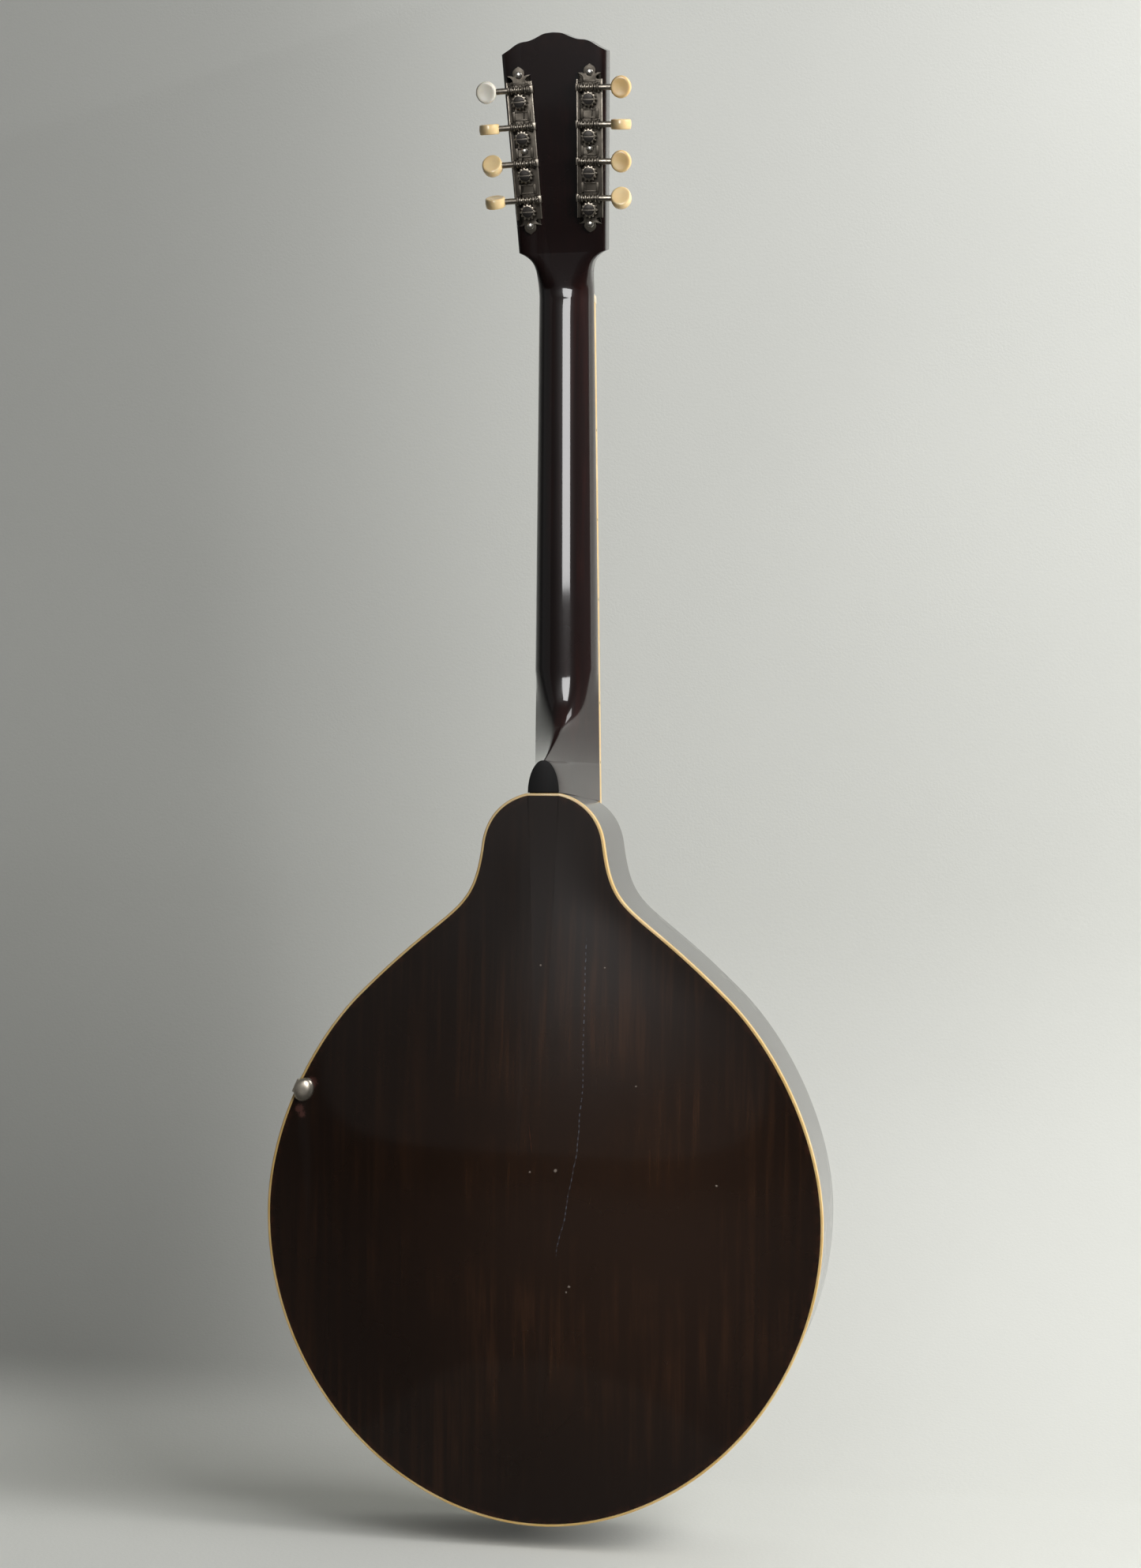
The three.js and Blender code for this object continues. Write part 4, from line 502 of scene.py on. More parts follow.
def markBack(material):
    shade, marks = Shading(material.node_tree), backMarks
    base = material.node_tree.nodes["Principled BSDF"].inputs["Base Color"]
    place = shade.here()
    flat = shade.node("VectorMath", {0: place, 1: (1.0, 0.0, 1.0)}, operation="MULTIPLY")[0]
    spot = shade.node("SeparateXYZ", {"Vector": place})
    ragged, waver = shade.noise(place, 900.0, 3.0), shade.noise(place, 45.0)

    drop = shade.math("MAXIMUM", shade.math("SUBTRACT", marks["bendStart"], spot["Z"]), 0.0)
    bent = shade.times(shade.math("POWER", drop, marks["bendPower"]), marks["bend"])
    path = shade.plus(bent, marks["scratchX"], shade.times(waver, marks["waver"]))
    gap = shade.math("ABSOLUTE", shade.math("SUBTRACT", spot["X"], path), 0.0)
    beat = shade.plus(shade.times(spot["Z"], marks["dotBeat"]), shade.times(waver, 14.0))
    plain = shade.mask(spot["Z"], marks["dotsEnd"] + marks["fade"], marks["dotsEnd"] - marks["fade"])
    dots = shade.math("MAXIMUM", shade.mask(shade.math("SINE", beat, 0.0), -0.1, 0.5), shade.times(plain, 0.2))
    line = shade.times(
        shade.mask(gap, marks["scratchWidth"], marks["scratchWidth"] * 0.4), dots, shade.mask(ragged, 0.3, 0.55),
        shade.mask(spot["Z"], marks["scratchFoot"], marks["scratchFoot"] + marks["fade"]),
        shade.mask(spot["Z"], marks["scratchTop"], marks["scratchTop"] - marks["fade"]),
    )

    # The back's colour, lighter in the middle and darker towards the rim
    oval = shade.drawn(flat, marks["warmStretch"], location=marks["warmPlace"])
    reach = shade.node("VectorMath", {0: oval}, operation="LENGTH")["Value"]
    least, more = marks["warmth"]
    lit = shade.plus(least, shade.times(shade.mask(reach, *marks["warmEdge"]), more))
    tone = shade.node("VectorMath", {0: base.links[0].from_socket, "Scale": lit}, operation="SCALE")[0]
    chips = spotsMask(shade, flat, ragged, marks["chips"], 0.2)
    rubbed = spotsMask(shade, flat, ragged, marks["rubbed"], 0.6)
    for found, strength, shown in (
        (rubbed, 0.8, (0.085, 0.035, 0.028)), (line, 0.55, (0.17, 0.19, 0.24)), (chips, 0.8, (0.3, 0.25, 0.21)),
    ):
        tone = shade.mix(shade.times(found, strength), tone, shown)
    shade.feed(base, tone)


ribLook = {"coat": 0.12, "warmth": 0.5, "pores": 0.0, "worn": 0.0}
neckLook = {"coat": 0.05, "clouds": 11.0, "worn": 0.08}
finishes = {
    "lacquer": lacquer("lacquer", (0.019, 0.0093, 0.0053), (0.06, 0.025, 0.011)),
    "rib_lacquer": lacquer("ribLacquer", (0.012, 0.0068, 0.0055), (0.03, 0.011, 0.007), **ribLook),
    "neck_lacquer": lacquer("neckLacquer", (0.0105, 0.0048, 0.0044), (0.03, 0.0075, 0.006), **neckLook),
    "soundboard": lacquer("soundboard", (0.02, 0.009, 0.0065), (0.11, 0.035, 0.014), streaks=120.0, clouds=5.0),
    "veneer": lacquer("veneer", (0.006, 0.005, 0.005), (0.012, 0.008, 0.007), warmth=0.3),
    "inner_wood": wood("innerWood", (0.38, 0.24, 0.12), (0.56, 0.4, 0.22), 0.72, 0.00008),
    "ebony": wood("ebony", (0.008, 0.007, 0.006), (0.028, 0.021, 0.017), 0.38, 0.00003, 260.0),
    "ivory_binding": celluloid("ivoryBinding", (0.76, 0.54, 0.24), (0.64, 0.42, 0.14), 0.34),
    "bone": celluloid("bone", (0.72, 0.66, 0.5), (0.6, 0.5, 0.32), 0.4),
    "button_cream": celluloid("buttonCream", (0.9, 0.68, 0.36), (0.78, 0.52, 0.22), 0.3),
    "tortoise": tortoiseMaterial(),
    "nickel": metal("nickel", (0.6, 0.57, 0.52), (0.22, 0.19, 0.155), 0.26),
    "worn_nickel": metal("wornNickel", (0.37, 0.33, 0.275), (0.1, 0.086, 0.07), 0.32),
    "worm_nickel": metal("wormNickel", (0.35, 0.315, 0.265), (0.1, 0.087, 0.07), 0.34),
    "wound_bronze": stringMaterial("woundBronze", (0.52, 0.34, 0.15), (0.2, 0.12, 0.06), 0.28),
    "plain_steel": stringMaterial("plainSteel", (0.58, 0.58, 0.58), (0.3, 0.28, 0.26), 0),
}
markBack(finishes["lacquer"])
paleButton = celluloid("buttonPale", (0.84, 0.8, 0.7), (0.74, 0.68, 0.52), 0.3)
pearl = celluloid("pearl", (0.7, 0.68, 0.62), (0.6, 0.62, 0.58), 0.2)
platePlain = metal("plateNickel", (0.1, 0.088, 0.073), (0.062, 0.054, 0.044), 0.4)
clampNickel = metal("clampNickel", (0.62, 0.56, 0.47), (0.33, 0.285, 0.22), 0.32)
screwSteel = metal("screwSteel", (0.045, 0.041, 0.038), (0.02, 0.018, 0.016), 0.4, 0.8)
capBlack = wood(
    "capBlack", (0.003, 0.003, 0.003), (0.007, 0.006, 0.006), 0.5, 0.00002, **{"Specular IOR Level": 0.12}
)
print("materials made")


# Body outline: four cubic curves up the right half, as shares of the half width and of the height
# below or above the widest line

outline = {
    "widest": 0.418, "bottomPull": 0.518, "belowWidest": 0.557, "aboveWidest": 0.203,
    "turn": (0.669, 0.521), "turnBefore": (0.165, 0.11), "turnAfter": (0.347, 0.23),
    "shoulder": (0.221, 0.88), "shoulderBefore": (0.035, 0.176), "shoulderAfter": (0.021, 0.107),
}
bodyWidth, bindingDepth, bodyLength = sizeOf("back_binding")
halfBody = bodyWidth / 2
rimHalf = (backHigh.y - topLow.y) / 2 / mm
capHalf = sizeOf("heel_cap")[0] / 2


def outlineRight(steps):
    widestHeight = bodyLength * outline["widest"]
    scale = np.array([halfBody, bodyLength - widestHeight])

    def spot(share):
        return np.array(share) * scale + (0, widestHeight)

    def pull(share):
        return np.array(share) * scale * (1, -1)

    start, widest, end = np.zeros(2), spot((1, 0)), np.array([capHalf, bodyLength])
    turning, shoulder = spot(outline["turn"]), spot(outline["shoulder"])
    curves = [
        (start, np.array([outline["bottomPull"] * halfBody, 0]),
         np.array([halfBody, widestHeight * (1 - outline["belowWidest"])]), widest),
        (widest, spot((1, outline["aboveWidest"])), turning + pull(outline["turnBefore"]), turning),
        (turning, turning - pull(outline["turnAfter"]), shoulder + pull(outline["shoulderBefore"]), shoulder),
        (shoulder, shoulder - pull(outline["shoulderAfter"]), end, end),
    ]
    t = np.linspace(0, 1, steps + 1)[:, None]
    runs = [
        (1 - t) ** 3 * a + 3 * t * (1 - t) ** 2 * b + 3 * t**2 * (1 - t) * c + t**3 * d
        for a, b, c, d in curves
    ]
    return np.concatenate([run[min(i, 1):] for i, run in enumerate(runs)])


rightRim = outlineRight(44)
rightOut = rightOf(unit(np.gradient(rightRim, axis=0)))
rightOut[0], rightOut[-1] = (0, -1), (0, 1)
rimPoints = np.concatenate([rightRim, rightRim[:0:-1] * mirror])
rimOut = np.concatenate([rightOut, rightOut[:0:-1] * mirror])


# Carved plates: full height along the middle, falling as a cosine to a flat border. The insets are
# those of the back (1) and of the front (-1). The ribs' skin runs past the front binding.

plates = {
    "edge": 5.0, "crown": 6.0, "border": 8.0, "peak": 0.45, "topArch": 16.0, "backArch": 12.0,
    "inset": {1: 1.85, -1: 2.9}, "frontSkin": 0.55, "skinGap": 0.05, "ringsOut": 44, "ringsIn": 16,
    "bindingEdge": 0.6, "bindingGap": 0.25, "ribWall": 2.2, "ribEdge": 0.25,
}


def archShare(x, z):
    border, peak = plates["border"], bodyLength * plates["peak"]
    reach = np.maximum(np.interp(z, rightRim[:, 1], rightRim[:, 0]) - border, border)
    across = np.minimum(np.abs(x) / reach, 1)
    low = np.clip((z - border) / (peak - border), 0, 1)
    high = np.clip((z - peak) / (bodyLength - border - peak), 0, 1)
    along = np.where(z < peak, (1 - np.cos(np.pi * low)) / 2, (1 + np.cos(np.pi * high)) / 2)
    return along * (1 + np.cos(np.pi * across)) / 2


def plateOuter(arch, x, z):
    return rimHalf + arch * archShare(x, z)


def plateInner(arch, x, z):
    return rimHalf - plates["edge"] + (arch - (plates["crown"] - plates["edge"])) * archShare(x, z)


# Points from the rim towards an inner loop, laid on one of the plate's two faces
def plateSheet(depthAt, arch, side, shares, target):
    rim = rimPoints - plates["inset"][side] * rimOut
    plan = rim[:, None] + (target - rim)[:, None] * shares[None, :, None]
    x, z = plan[..., 0], plan[..., 1]
    return pointsOf(x, side * depthAt(arch, x, z), z)


# The two faces meet the middle, and a wall joins their rims
def backPlate():
    rows, outer, inner = len(rimPoints), plates["ringsOut"], plates["ringsIn"]
    middle = np.array([[0, bodyLength * plates["peak"]]])
    sheets = [
        plateSheet(depthAt, plates["backArch"], 1, np.linspace(0, 1, count), middle).reshape(-1, 3)
        for depthAt, count in ((plateOuter, outer), (plateInner, inner))
    ]
    start = rows * outer
    a, b = np.arange(rows), (np.arange(rows) + 1) % rows
    wall = np.stack([a * outer, b * outer, start + b * inner, start + a * inner], -1)
    faces = gridFaces(rows, outer, True) + gridFaces(rows, inner, True, start=start) + wall.tolist()
    newPiece("backPlate", (np.concatenate(sheets), faces), "lacquer", "back_plate")


ringLow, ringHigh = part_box("soundhole_ring")
hole = {
    "height": ((ringLow.z + ringHigh.z) / 2 - bodyOrigin[2]) / mm,
    "half": (sizeOf("soundhole_ring")[[0, 2]] + 2 * seat) / 2,
    "ringWidth": 3.2, "ringProud": 0.4,
}


def topPlate():
    centre = np.array([0, hole["height"]])
    ray = rimPoints - centre
    edge = centre + ray / np.linalg.norm(ray / hole["half"], axis=1, keepdims=True)
    outer = plateSheet(plateOuter, plates["topArch"], -1, np.linspace(0, 1, plates["ringsOut"]), edge)
    inner = plateSheet(plateInner, plates["topArch"], -1, np.linspace(1, 0, plates["ringsIn"]), edge)
    newPiece("topPlate", closedForm(np.concatenate([outer, inner], 1)), "soundboard", "top_plate")


# The ring's section is a rounded bar that lines the wall of the hole
def soundHoleRing():
    angle = fullTurn(144)[:, None]
    width, rise = hole["ringWidth"], hole["ringProud"]
    inset = seat + np.array([0, 0.3, 1.6, 2.9, width, width, 0])[None]
    x = (hole["half"][0] - inset) * np.cos(angle)
    z = hole["height"] + (hole["half"][1] - inset) * np.sin(angle)
    face = -plateOuter(plates["topArch"], x[:, :5], z[:, :5]) - np.array([0, rise, rise, rise, 0])
    under = -plateInner(plates["topArch"], x[:, 5:], z[:, 5:])
    form = closedForm(pointsOf(x, np.concatenate([face, under], 1), z))
    newPiece("soundHoleRing", form, "ivory_binding", "soundhole_ring")


# Binding: a square strip round the whole rim, its outer edge rounded by handling
def binding(name, side, node):
    edge, near = plates["bindingEdge"], rimHalf - bindingDepth
    start = 0 if side > 0 else plates["frontSkin"] + plates["skinGap"]
    width = plates["inset"][side] - plates["bindingGap"]
    quarter = np.linspace(0, np.pi / 2, 5)
    inset = np.concatenate([[start], start + edge * (1 - np.cos(quarter)), [width, width]])
    depth = np.concatenate([[near], rimHalf - edge * (1 - np.sin(quarter)), [rimHalf, near]])
    plan = rimPoints[:, None] - inset[None, :, None] * rimOut[:, None]
    form = closedForm(pointsOf(plan[..., 0], side * depth, plan[..., 1]))
    newPiece(name, form, "ivory_binding", node)


# Ribs: one bent wall a side, from the seam at the foot to the neck's tenon. Its outer skin runs
# forward past the front binding, which therefore doesn't show from the side, as in the photograph.
def rib(name, sign, node):
    half, wall, edge = rimHalf - bindingDepth - seat, plates["ribWall"], plates["ribEdge"]
    skin, face = plates["frontSkin"], rimHalf - plates["skinGap"]
    inset = np.array([edge, 0, 0, wall, wall, skin, skin])
    depth = np.array([-face, edge - face, half, half, -half, -half, -face])
    plan = rightRim[:, None] - inset[None, :, None] * rightOut[:, None]
    plan[0, :, 0] = seat / 2
    plan[-1, :, 0] = capHalf - seat
    newPiece(name, loft(pointsOf(sign * plan[..., 0], depth, plan[..., 1])), "rib_lacquer", node)


backPlate()
topPlate()
soundHoleRing()
binding("backBinding", 1, "back_binding")
binding("topBinding", -1, "top_binding")
rib("ribTreble", 1, "rib_treble")
rib("ribBass", -1, "rib_bass")
print("body made")


# Neck and headstock

neck = {
    "scale": 628.65, "bodyFret": 13, "frets": 20, "jointSetback": 5.4, "jointDepth": 46.3,
    "pitch": math.radians(2.6), "nutHalf": 18.3, "jointHalf": 22.1, "thickNut": 15.2, "thickHeel": 19.0,
    "capThickness": 2.6, "capTip": 0.8, "sweep": 62.0, "round": 2.3, "square": 12.0, "columns": 64,
    "nutLength": 5.0, "tongueWidth": 34.0, "tongueSetback": 10.0, "boardOverhang": 8.0,
    "rows": {"cap": 22, "sweep": 44, "shaft": 26, "shoulder": 34, "crown": 12},
    "powers": {"cap": 0.55, "rows": 1.8, "depth": 3, "width": 1.5, "round": 0.8},
}
head = {
    "tilt": math.radians(16), "shoulder": 28.6, "corner": 154.6, "length": 167.3, "shoulderHalf": 29.1,
    "topHalf": 34.6, "thickness": 12.6, "veneer": 1.6, "flare": 6,
    "crest": [(0, 1), (0.17, 0.95), (0.33, 0.76), (0.46, 0.63), (0.6, 0.58), (0.71, 0.47), (0.84, 0.24), (1, 0)],
}
jointHeight = bodyLength - neck["jointSetback"]


# Each fret stands nearer to the bridge by the twelfth root of 2
def fretDrop(number):
    return neck["scale"] * (1 - 2 ** (-number / 12))


nutHeight = jointHeight + fretDrop(neck["bodyFret"])
headStart = nutHeight + neck["nutLength"]
boardEnd = nutHeight - fretDrop(neck["frets"]) - neck["boardOverhang"]
capLength = sizeOf("heel_cap")[2]
heelBase = bodyLength + seat
heelTip = heelBase + capLength


def boardFoot(height):
    return -neck["jointDepth"] - np.tan(neck["pitch"]) * (jointHeight - height)


def neckHalfAt(height):
    return blendOf(neck["jointHalf"], neck["nutHalf"], (height - jointHeight) / (nutHeight - jointHeight))


def capHalfAt(share):
    return blendOf(neck["capTip"], capHalf, (1 - share**2) ** neck["powers"]["cap"])


crest = splineThrough(
    [(x * head["topHalf"], blendOf(head["corner"], head["length"], rise)) for x, rise in head["crest"]], 12
)
headFrame = turnX(-head["tilt"], (0, boardFoot(headStart), headStart))


def onHead(points):
    return np.asarray(points) @ headFrame[:3, :3].T + headFrame[:3, 3]


# Half the head's width: a quick flare to its shoulders, then an even taper outwards
def headHalfAt(up):
    shoulder, shoulderHalf = head["shoulder"], head["shoulderHalf"]
    flare = blendOf(neck["nutHalf"], shoulderHalf, (np.minimum(up, shoulder) / shoulder) ** head["flare"])
    taper = blendOf(shoulderHalf, head["topHalf"], (up - shoulder) / (head["corner"] - shoulder))
    return np.where(up <= shoulder, flare, taper)


# A neck section: flat in front, a superellipse behind, drawn in at the back where the heel narrows.
# half, depth, cap and roundness hold one value for each station. It gives x in front and behind,
# and the depth.
def neckSections(half, depth, cap, roundness):
    across = np.sin(np.pi * (np.linspace(0, 1, neck["columns"] + 1) - 0.5))[None]
    half, depth, cap, roundness = (np.asarray(v, float)[:, None] for v in (half, depth, cap, roundness))
    fullness = np.maximum(1 - np.abs(across) ** roundness, 0) ** (1 / roundness)
    return half * across, half * across * (1 - (1 - cap) * fullness), depth * fullness


# The front of the neck's wood and its back, from the heel's seat on the body to the nut
def heelAndShaft():
    heelTop = heelTip + neck["sweep"]
    square, rows, powers = neck["square"], neck["rows"], neck["powers"]

    def squareHeel(height):
        return rimHalf - neck["capThickness"] - seat - boardFoot(height)

    def thick(height):
        return blendOf(neck["thickHeel"], neck["thickNut"], (height - heelTop) / (nutHeight - heelTop))

    capShare = np.linspace(0, 1, rows["cap"])
    capHeights = heelBase + capLength * capShare
    capShares = capHalfAt(capShare) / neckHalfAt(capHeights)
    sweepShare = np.linspace(0, 1, rows["sweep"])[1:] ** powers["rows"]
    sweepHeights = heelTip + neck["sweep"] * sweepShare
    extra = (squareHeel(sweepHeights) - thick(sweepHeights)) * (1 - sweepShare) ** powers["depth"]
    tip = neck["capTip"] / neckHalfAt(sweepHeights)
    longHeights = np.linspace(heelTop, nutHeight, rows["shaft"])[1:]
    even = np.ones(len(longHeights))

    heights = np.concatenate([[heelBase], capHeights, sweepHeights, longHeights])
    depth = np.concatenate([
        [squareHeel(heelBase)], squareHeel(capHeights), thick(sweepHeights) + extra, thick(longHeights),
    ])
    cap = np.concatenate([capShares[:1], capShares, blendOf(tip, 1, sweepShare ** powers["width"]), even])
    roundness = np.concatenate([
        [square], blendOf(square, square / 2, capShare**2),
        blendOf(square / 2, neck["round"], sweepShare ** powers["round"]), neck["round"] * even,
    ])
    front, back, deep = neckSections(neckHalfAt(heights), depth, cap, roundness)
    z = heights[:, None] + 0 * front
    topCurve = rightRim[rightRim[:, 1] > bodyLength * 0.9][::-1]
    frontZ, backZ = z.copy(), z.copy()
    for seated, x in ((frontZ, front), (backZ, back)):
        seated[0] = np.interp(np.abs(x[0]), topCurve[:, 0], topCurve[:, 1]) + seat
    return pointsOf(front, boardFoot(frontZ), frontZ), pointsOf(back, boardFoot(z) + deep, backZ)


# The same for the head: up to its shoulders, and from there to the crest
def headSheets():
    share = np.sqrt(np.linspace(0, 1, neck["rows"]["shoulder"]))
    up = head["shoulder"] * share
    depth = blendOf(neck["thickNut"], head["thickness"], np.sqrt(share))
    roundness = blendOf(neck["round"], neck["square"], share**2)
    low = neckSections(headHalfAt(up), depth, np.ones(len(up)), roundness)
    lowUp = up[:, None] + 0 * low[0]

    share = np.linspace(0, 1, neck["rows"]["crown"])[1:]
    even = np.ones(len(share))
    half = blendOf(head["shoulderHalf"], head["topHalf"], share)
    high = neckSections(half, head["thickness"] * even, even, neck["square"] * even)
    crestUp = np.interp(np.abs(high[0] / half[:, None]) * head["topHalf"], crest[:, 0], crest[:, 1])
    upward = np.concatenate([lowUp, blendOf(head["shoulder"], crestUp, share[:, None])])
    front, back, deep = (np.concatenate(pair) for pair in zip(low, high))
    return onHead(pointsOf(front, 0, upward)), onHead(pointsOf(back, deep, upward))


# The rings run up the front and down the back. Their first and last ring are closed by quads that
# join each front point to the one behind it. The tongue under the fretboard's end is a form of its own.
def neckPiece():
    frontSheet, backSheet = (np.concatenate(pair) for pair in zip(heelAndShaft(), headSheets()))
    rings = np.concatenate([frontSheet, backSheet[:, -2:0:-1]], 1)
    rows, columns = rings.shape[:2]
    i = np.arange(neck["columns"])
    mate = lambda k: (columns - k) % columns
    mates = np.stack([i, i + 1, mate(i + 1), mate(i)], -1)
    mates[:, 2] = np.where(i + 1 == neck["columns"], i + 1, mates[:, 2])
    faces = gridFaces(rows, columns, wrapColumns=True)
    faces += mates.tolist() + (mates + (rows - 1) * columns).tolist()

    half = neck["tongueWidth"] / 2
    stations = np.linspace(boardEnd + neck["tongueSetback"], heelBase, 12)
    floor = np.minimum(-plateOuter(plates["topArch"], 0 * stations + half, stations) + 2.0, -rimHalf - 0.1)
    roof = boardFoot(stations)
    corners = (-half, roof), (half, roof), (half, floor), (-half, floor)
    tongue = np.stack([pointsOf(x, y, stations) for x, y in corners], 1)
    newPiece("neckWood", together([(rings.reshape(-1, 3), faces), loft(tongue)]), "neck_lacquer", "neck")


def heelCap():
    share = 1 - (1 - np.linspace(0, 1, 40)) ** 2
    right = pointsOf(capHalfAt(share), heelBase + capLength * share)
    form = slab(np.concatenate([right, right[::-1] * mirror]), rimHalf - neck["capThickness"], rimHalf, 0.35)
    newPiece("heelCap", form, "ebony", "heel_cap", capBlack)


def headVeneer():
    up = seat + (head["shoulder"] - seat) * np.sqrt(np.linspace(0, 1, 40))
    right = np.concatenate([pointsOf(headHalfAt(up), up), crest[::-1]])
    plan = np.concatenate([right, right[-2::-1] * mirror])
    form = slab(plan, -head["veneer"] - seat, -seat, 0.25)
    newPiece("headVeneer", moved(form, headFrame), "veneer", "headstock_veneer")


neckPiece()
heelCap()
headVeneer()
print("neck made")


# Fretboard: a flat board bound on its three outer edges, with frets, face dots and side dots

board = {
    "thickness": 6.0, "binding": 1.6, "fretWidth": 2.3, "fretHeight": 1.0, "dotRadius": 3.0,
    "sideDotRadius": 0.9, "dotFrets": (5, 7, 10, 12, 15), "sideFrets": (3, 5, 7, 10, 12, 15),
}


def onBoard(x, height, rise):
    return pointsOf(x, boardFoot(height) - seat - rise, height)


# A bar as thick as the board between two heights, with its sides given at any height
def boardBar(low, high, leftAt, rightAt):
    heights = np.array([low, high], float)[:, None]
    x = np.concatenate([leftAt(heights), leftAt(heights), rightAt(heights), rightAt(heights)], 1)
    return loft(onBoard(x, heights, np.array([[0, board["thickness"], board["thickness"], 0]])))


def fretboard():
    edge, top, end = board["binding"], board["thickness"], nutHeight - seat
    core = lambda height: neckHalfAt(height) - edge
    inner = lambda height: core(height) - seat / 2
    slabForm = boardBar(boardEnd + edge + seat / 2, end, lambda h: -inner(h), inner)
    newPiece("fretboardWood", slabForm, "ebony", "fretboard")
    strips = [
        boardBar(boardEnd, end, core, neckHalfAt),
        boardBar(boardEnd, end, lambda h: -neckHalfAt(h), lambda h: -core(h)),
        boardBar(boardEnd, boardEnd + edge, lambda h: -core(h), core),
    ]
    newPiece("fretboardBinding", together(strips), "ivory_binding", "fretboard_binding")

    arc = np.linspace(0, np.pi, 9)
    wide = board["fretWidth"] / 2 * np.cos(arc)
    proud = -0.2 + (board["fretHeight"] + 0.2) * np.sin(arc) ** 0.8
    frets = []
    for number in range(1, neck["frets"] + 1):
        height = nutHeight - fretDrop(number)
        half = inner(height) - 0.2
        x = np.array([-half, -half + 0.5, half - 0.5, half])[:, None]
        shrink = np.array([0.75, 1, 1, 0.75])[:, None]
        frets.append(loft(onBoard(x, height + wide * shrink, top + proud * shrink)))
    newPiece("frets", together(frets), "nickel")

    def between(number):
        return nutHeight - (fretDrop(number) + fretDrop(number - 1)) / 2

    radius, small = board["dotRadius"], board["sideDotRadius"]
    disc = moved(turned([(0, 0.3), (radius, 0.3), (radius, -0.04), (0, -0.05)], 32), turnX(neck["pitch"]))
    face = [shifted(disc, onBoard(0, between(number), top)) for number in board["dotFrets"]]
    points, faces = turned([(0, 0.3), (small, 0.3), (small, -0.05), (0, -0.06)], 20)
    side = []
    for number in board["sideFrets"]:
        height = between(number)
        side.append((points[:, [1, 0, 2]] + onBoard(-neckHalfAt(height), height, top / 2), faces))
    newPiece("faceDots", together(face), "ivory_binding", finish=pearl)
    newPiece("sideDots", together(side), "ebony")


fretboard()
print("fretboard made")


# Tuners: a plate each side with eight bearing ears, and four worms and gears under them

tuner = {
    "count": 4, "pitch": 23.2, "height": 93.9, "reach": 21.6, "splay": math.radians(2), "axis": 4.9,
    "centres": 7.4, "earSpan": 12.0, "earThickness": 1.5, "earWidth": 6.4, "earHeight": 8.0,
}
plate = {
    "half": 8.5, "length": 87.3, "thickness": 1.0, "tip": 9.6, "screwSpan": 95.5, "screwRadius": 2.4,
    "screwRise": 1.3, "flange": 0.8, "flangeRise": 0.7, "railIn": 4.0, "railOut": 5.9, "railRise": 0.9,
    "crossRise": 0.45, "crossWidth": 1.1, "scrollHalf": 2.4, "scrollIn": 1.0, "scrollTop": 2.6,
    "fleur": [
        (0.62, 0), (0.5, 0.1), (0.6, 0.24), (0.9, 0.4), (0.62, 0.42), (0.44, 0.36), (0.47, 0.56), (0.36, 0.78),
    ],
}
gear = {
    "teeth": 12, "tip": 5.45, "root": 4.0, "half": 1.4, "pitch": 9.5, "collar": 3.85, "collarRise": 0.7,
    "steps": 14, "screw": 3.55, "slot": 0.8, "slotDepth": 0.7, "post": 3.1, "waist": 2.4, "bottom": 29.8,
    "cap": 1.5, "taper": 0.6,
}
worm = {
    "crest": 3.1, "root": 1.6, "shaft": 1.95, "collar": 2.7, "collarLength": 0.9, "innerEnd": 0.8, "sharpness": 5,
    "threadHalf": 0.19, "runIn": 0.35, "fade": 0.5, "edge": 0.15,
}
button = {
    "width": 13.5, "length": 14.3, "thickness": 6.6, "dish": 0.3, "reach": 21.1, "socket": 5.0,
    "turns": {"treble": (0, 90, 35, 78), "bass": (0, 90, 0, 32)}, "palest": "treble_1",
}
sides = {"treble": 1, "bass": -1}
wormLead = math.pi * gear["pitch"] / gear["teeth"]


def tunerFrame(side):
    place = (side * tuner["reach"], head["thickness"] + seat, tuner["height"])
    return headFrame @ turnY(side * tuner["splay"], place)


def postUp(i):
    return -tuner["centres"] / 2 + ((tuner["count"] - 1) / 2 - i) * tuner["pitch"]


# An ear: an upright cheek with a rounded top, across the worm's axis
def ear(centre, up):
    half, thick, top = tuner["earWidth"] / 2, tuner["earThickness"], tuner["earHeight"]
    arc, crown = np.linspace(0, np.pi, 15), half * 0.75
    side = [(-half, 0.4), (half, 0.4), *zip(half * np.cos(arc), top - crown + crown * np.sin(arc))]
    points, faces = slab(side, centre - thick / 2, centre + thick / 2, 0.3)
    return points[:, [1, 2, 0]] + (0, 0, up), faces


def plateOutline():
    half, start, tip = plate["half"], plate["length"] / 2, plate["tip"]
    spots = [(x * half, start + rise * tip) for x, rise in plate["fleur"]]
    fleur = splineThrough([*spots, (0, start + tip)], 5)
    right = np.concatenate([fleur[::-1] * (1, -1), [(half, -start), (half, start)], fleur])
    return np.concatenate([right, right[-2:0:-1] * mirror])


def domed(radius, rise, floor):
    quarter = np.linspace(0, 1, 9) * math.pi / 2
    dome = [(radius * math.cos(a), floor + rise * math.sin(a)) for a in quarter]
    return turned([(0, floor - 0.5), (radius, floor - 0.5), (radius, floor), *dome], 32)


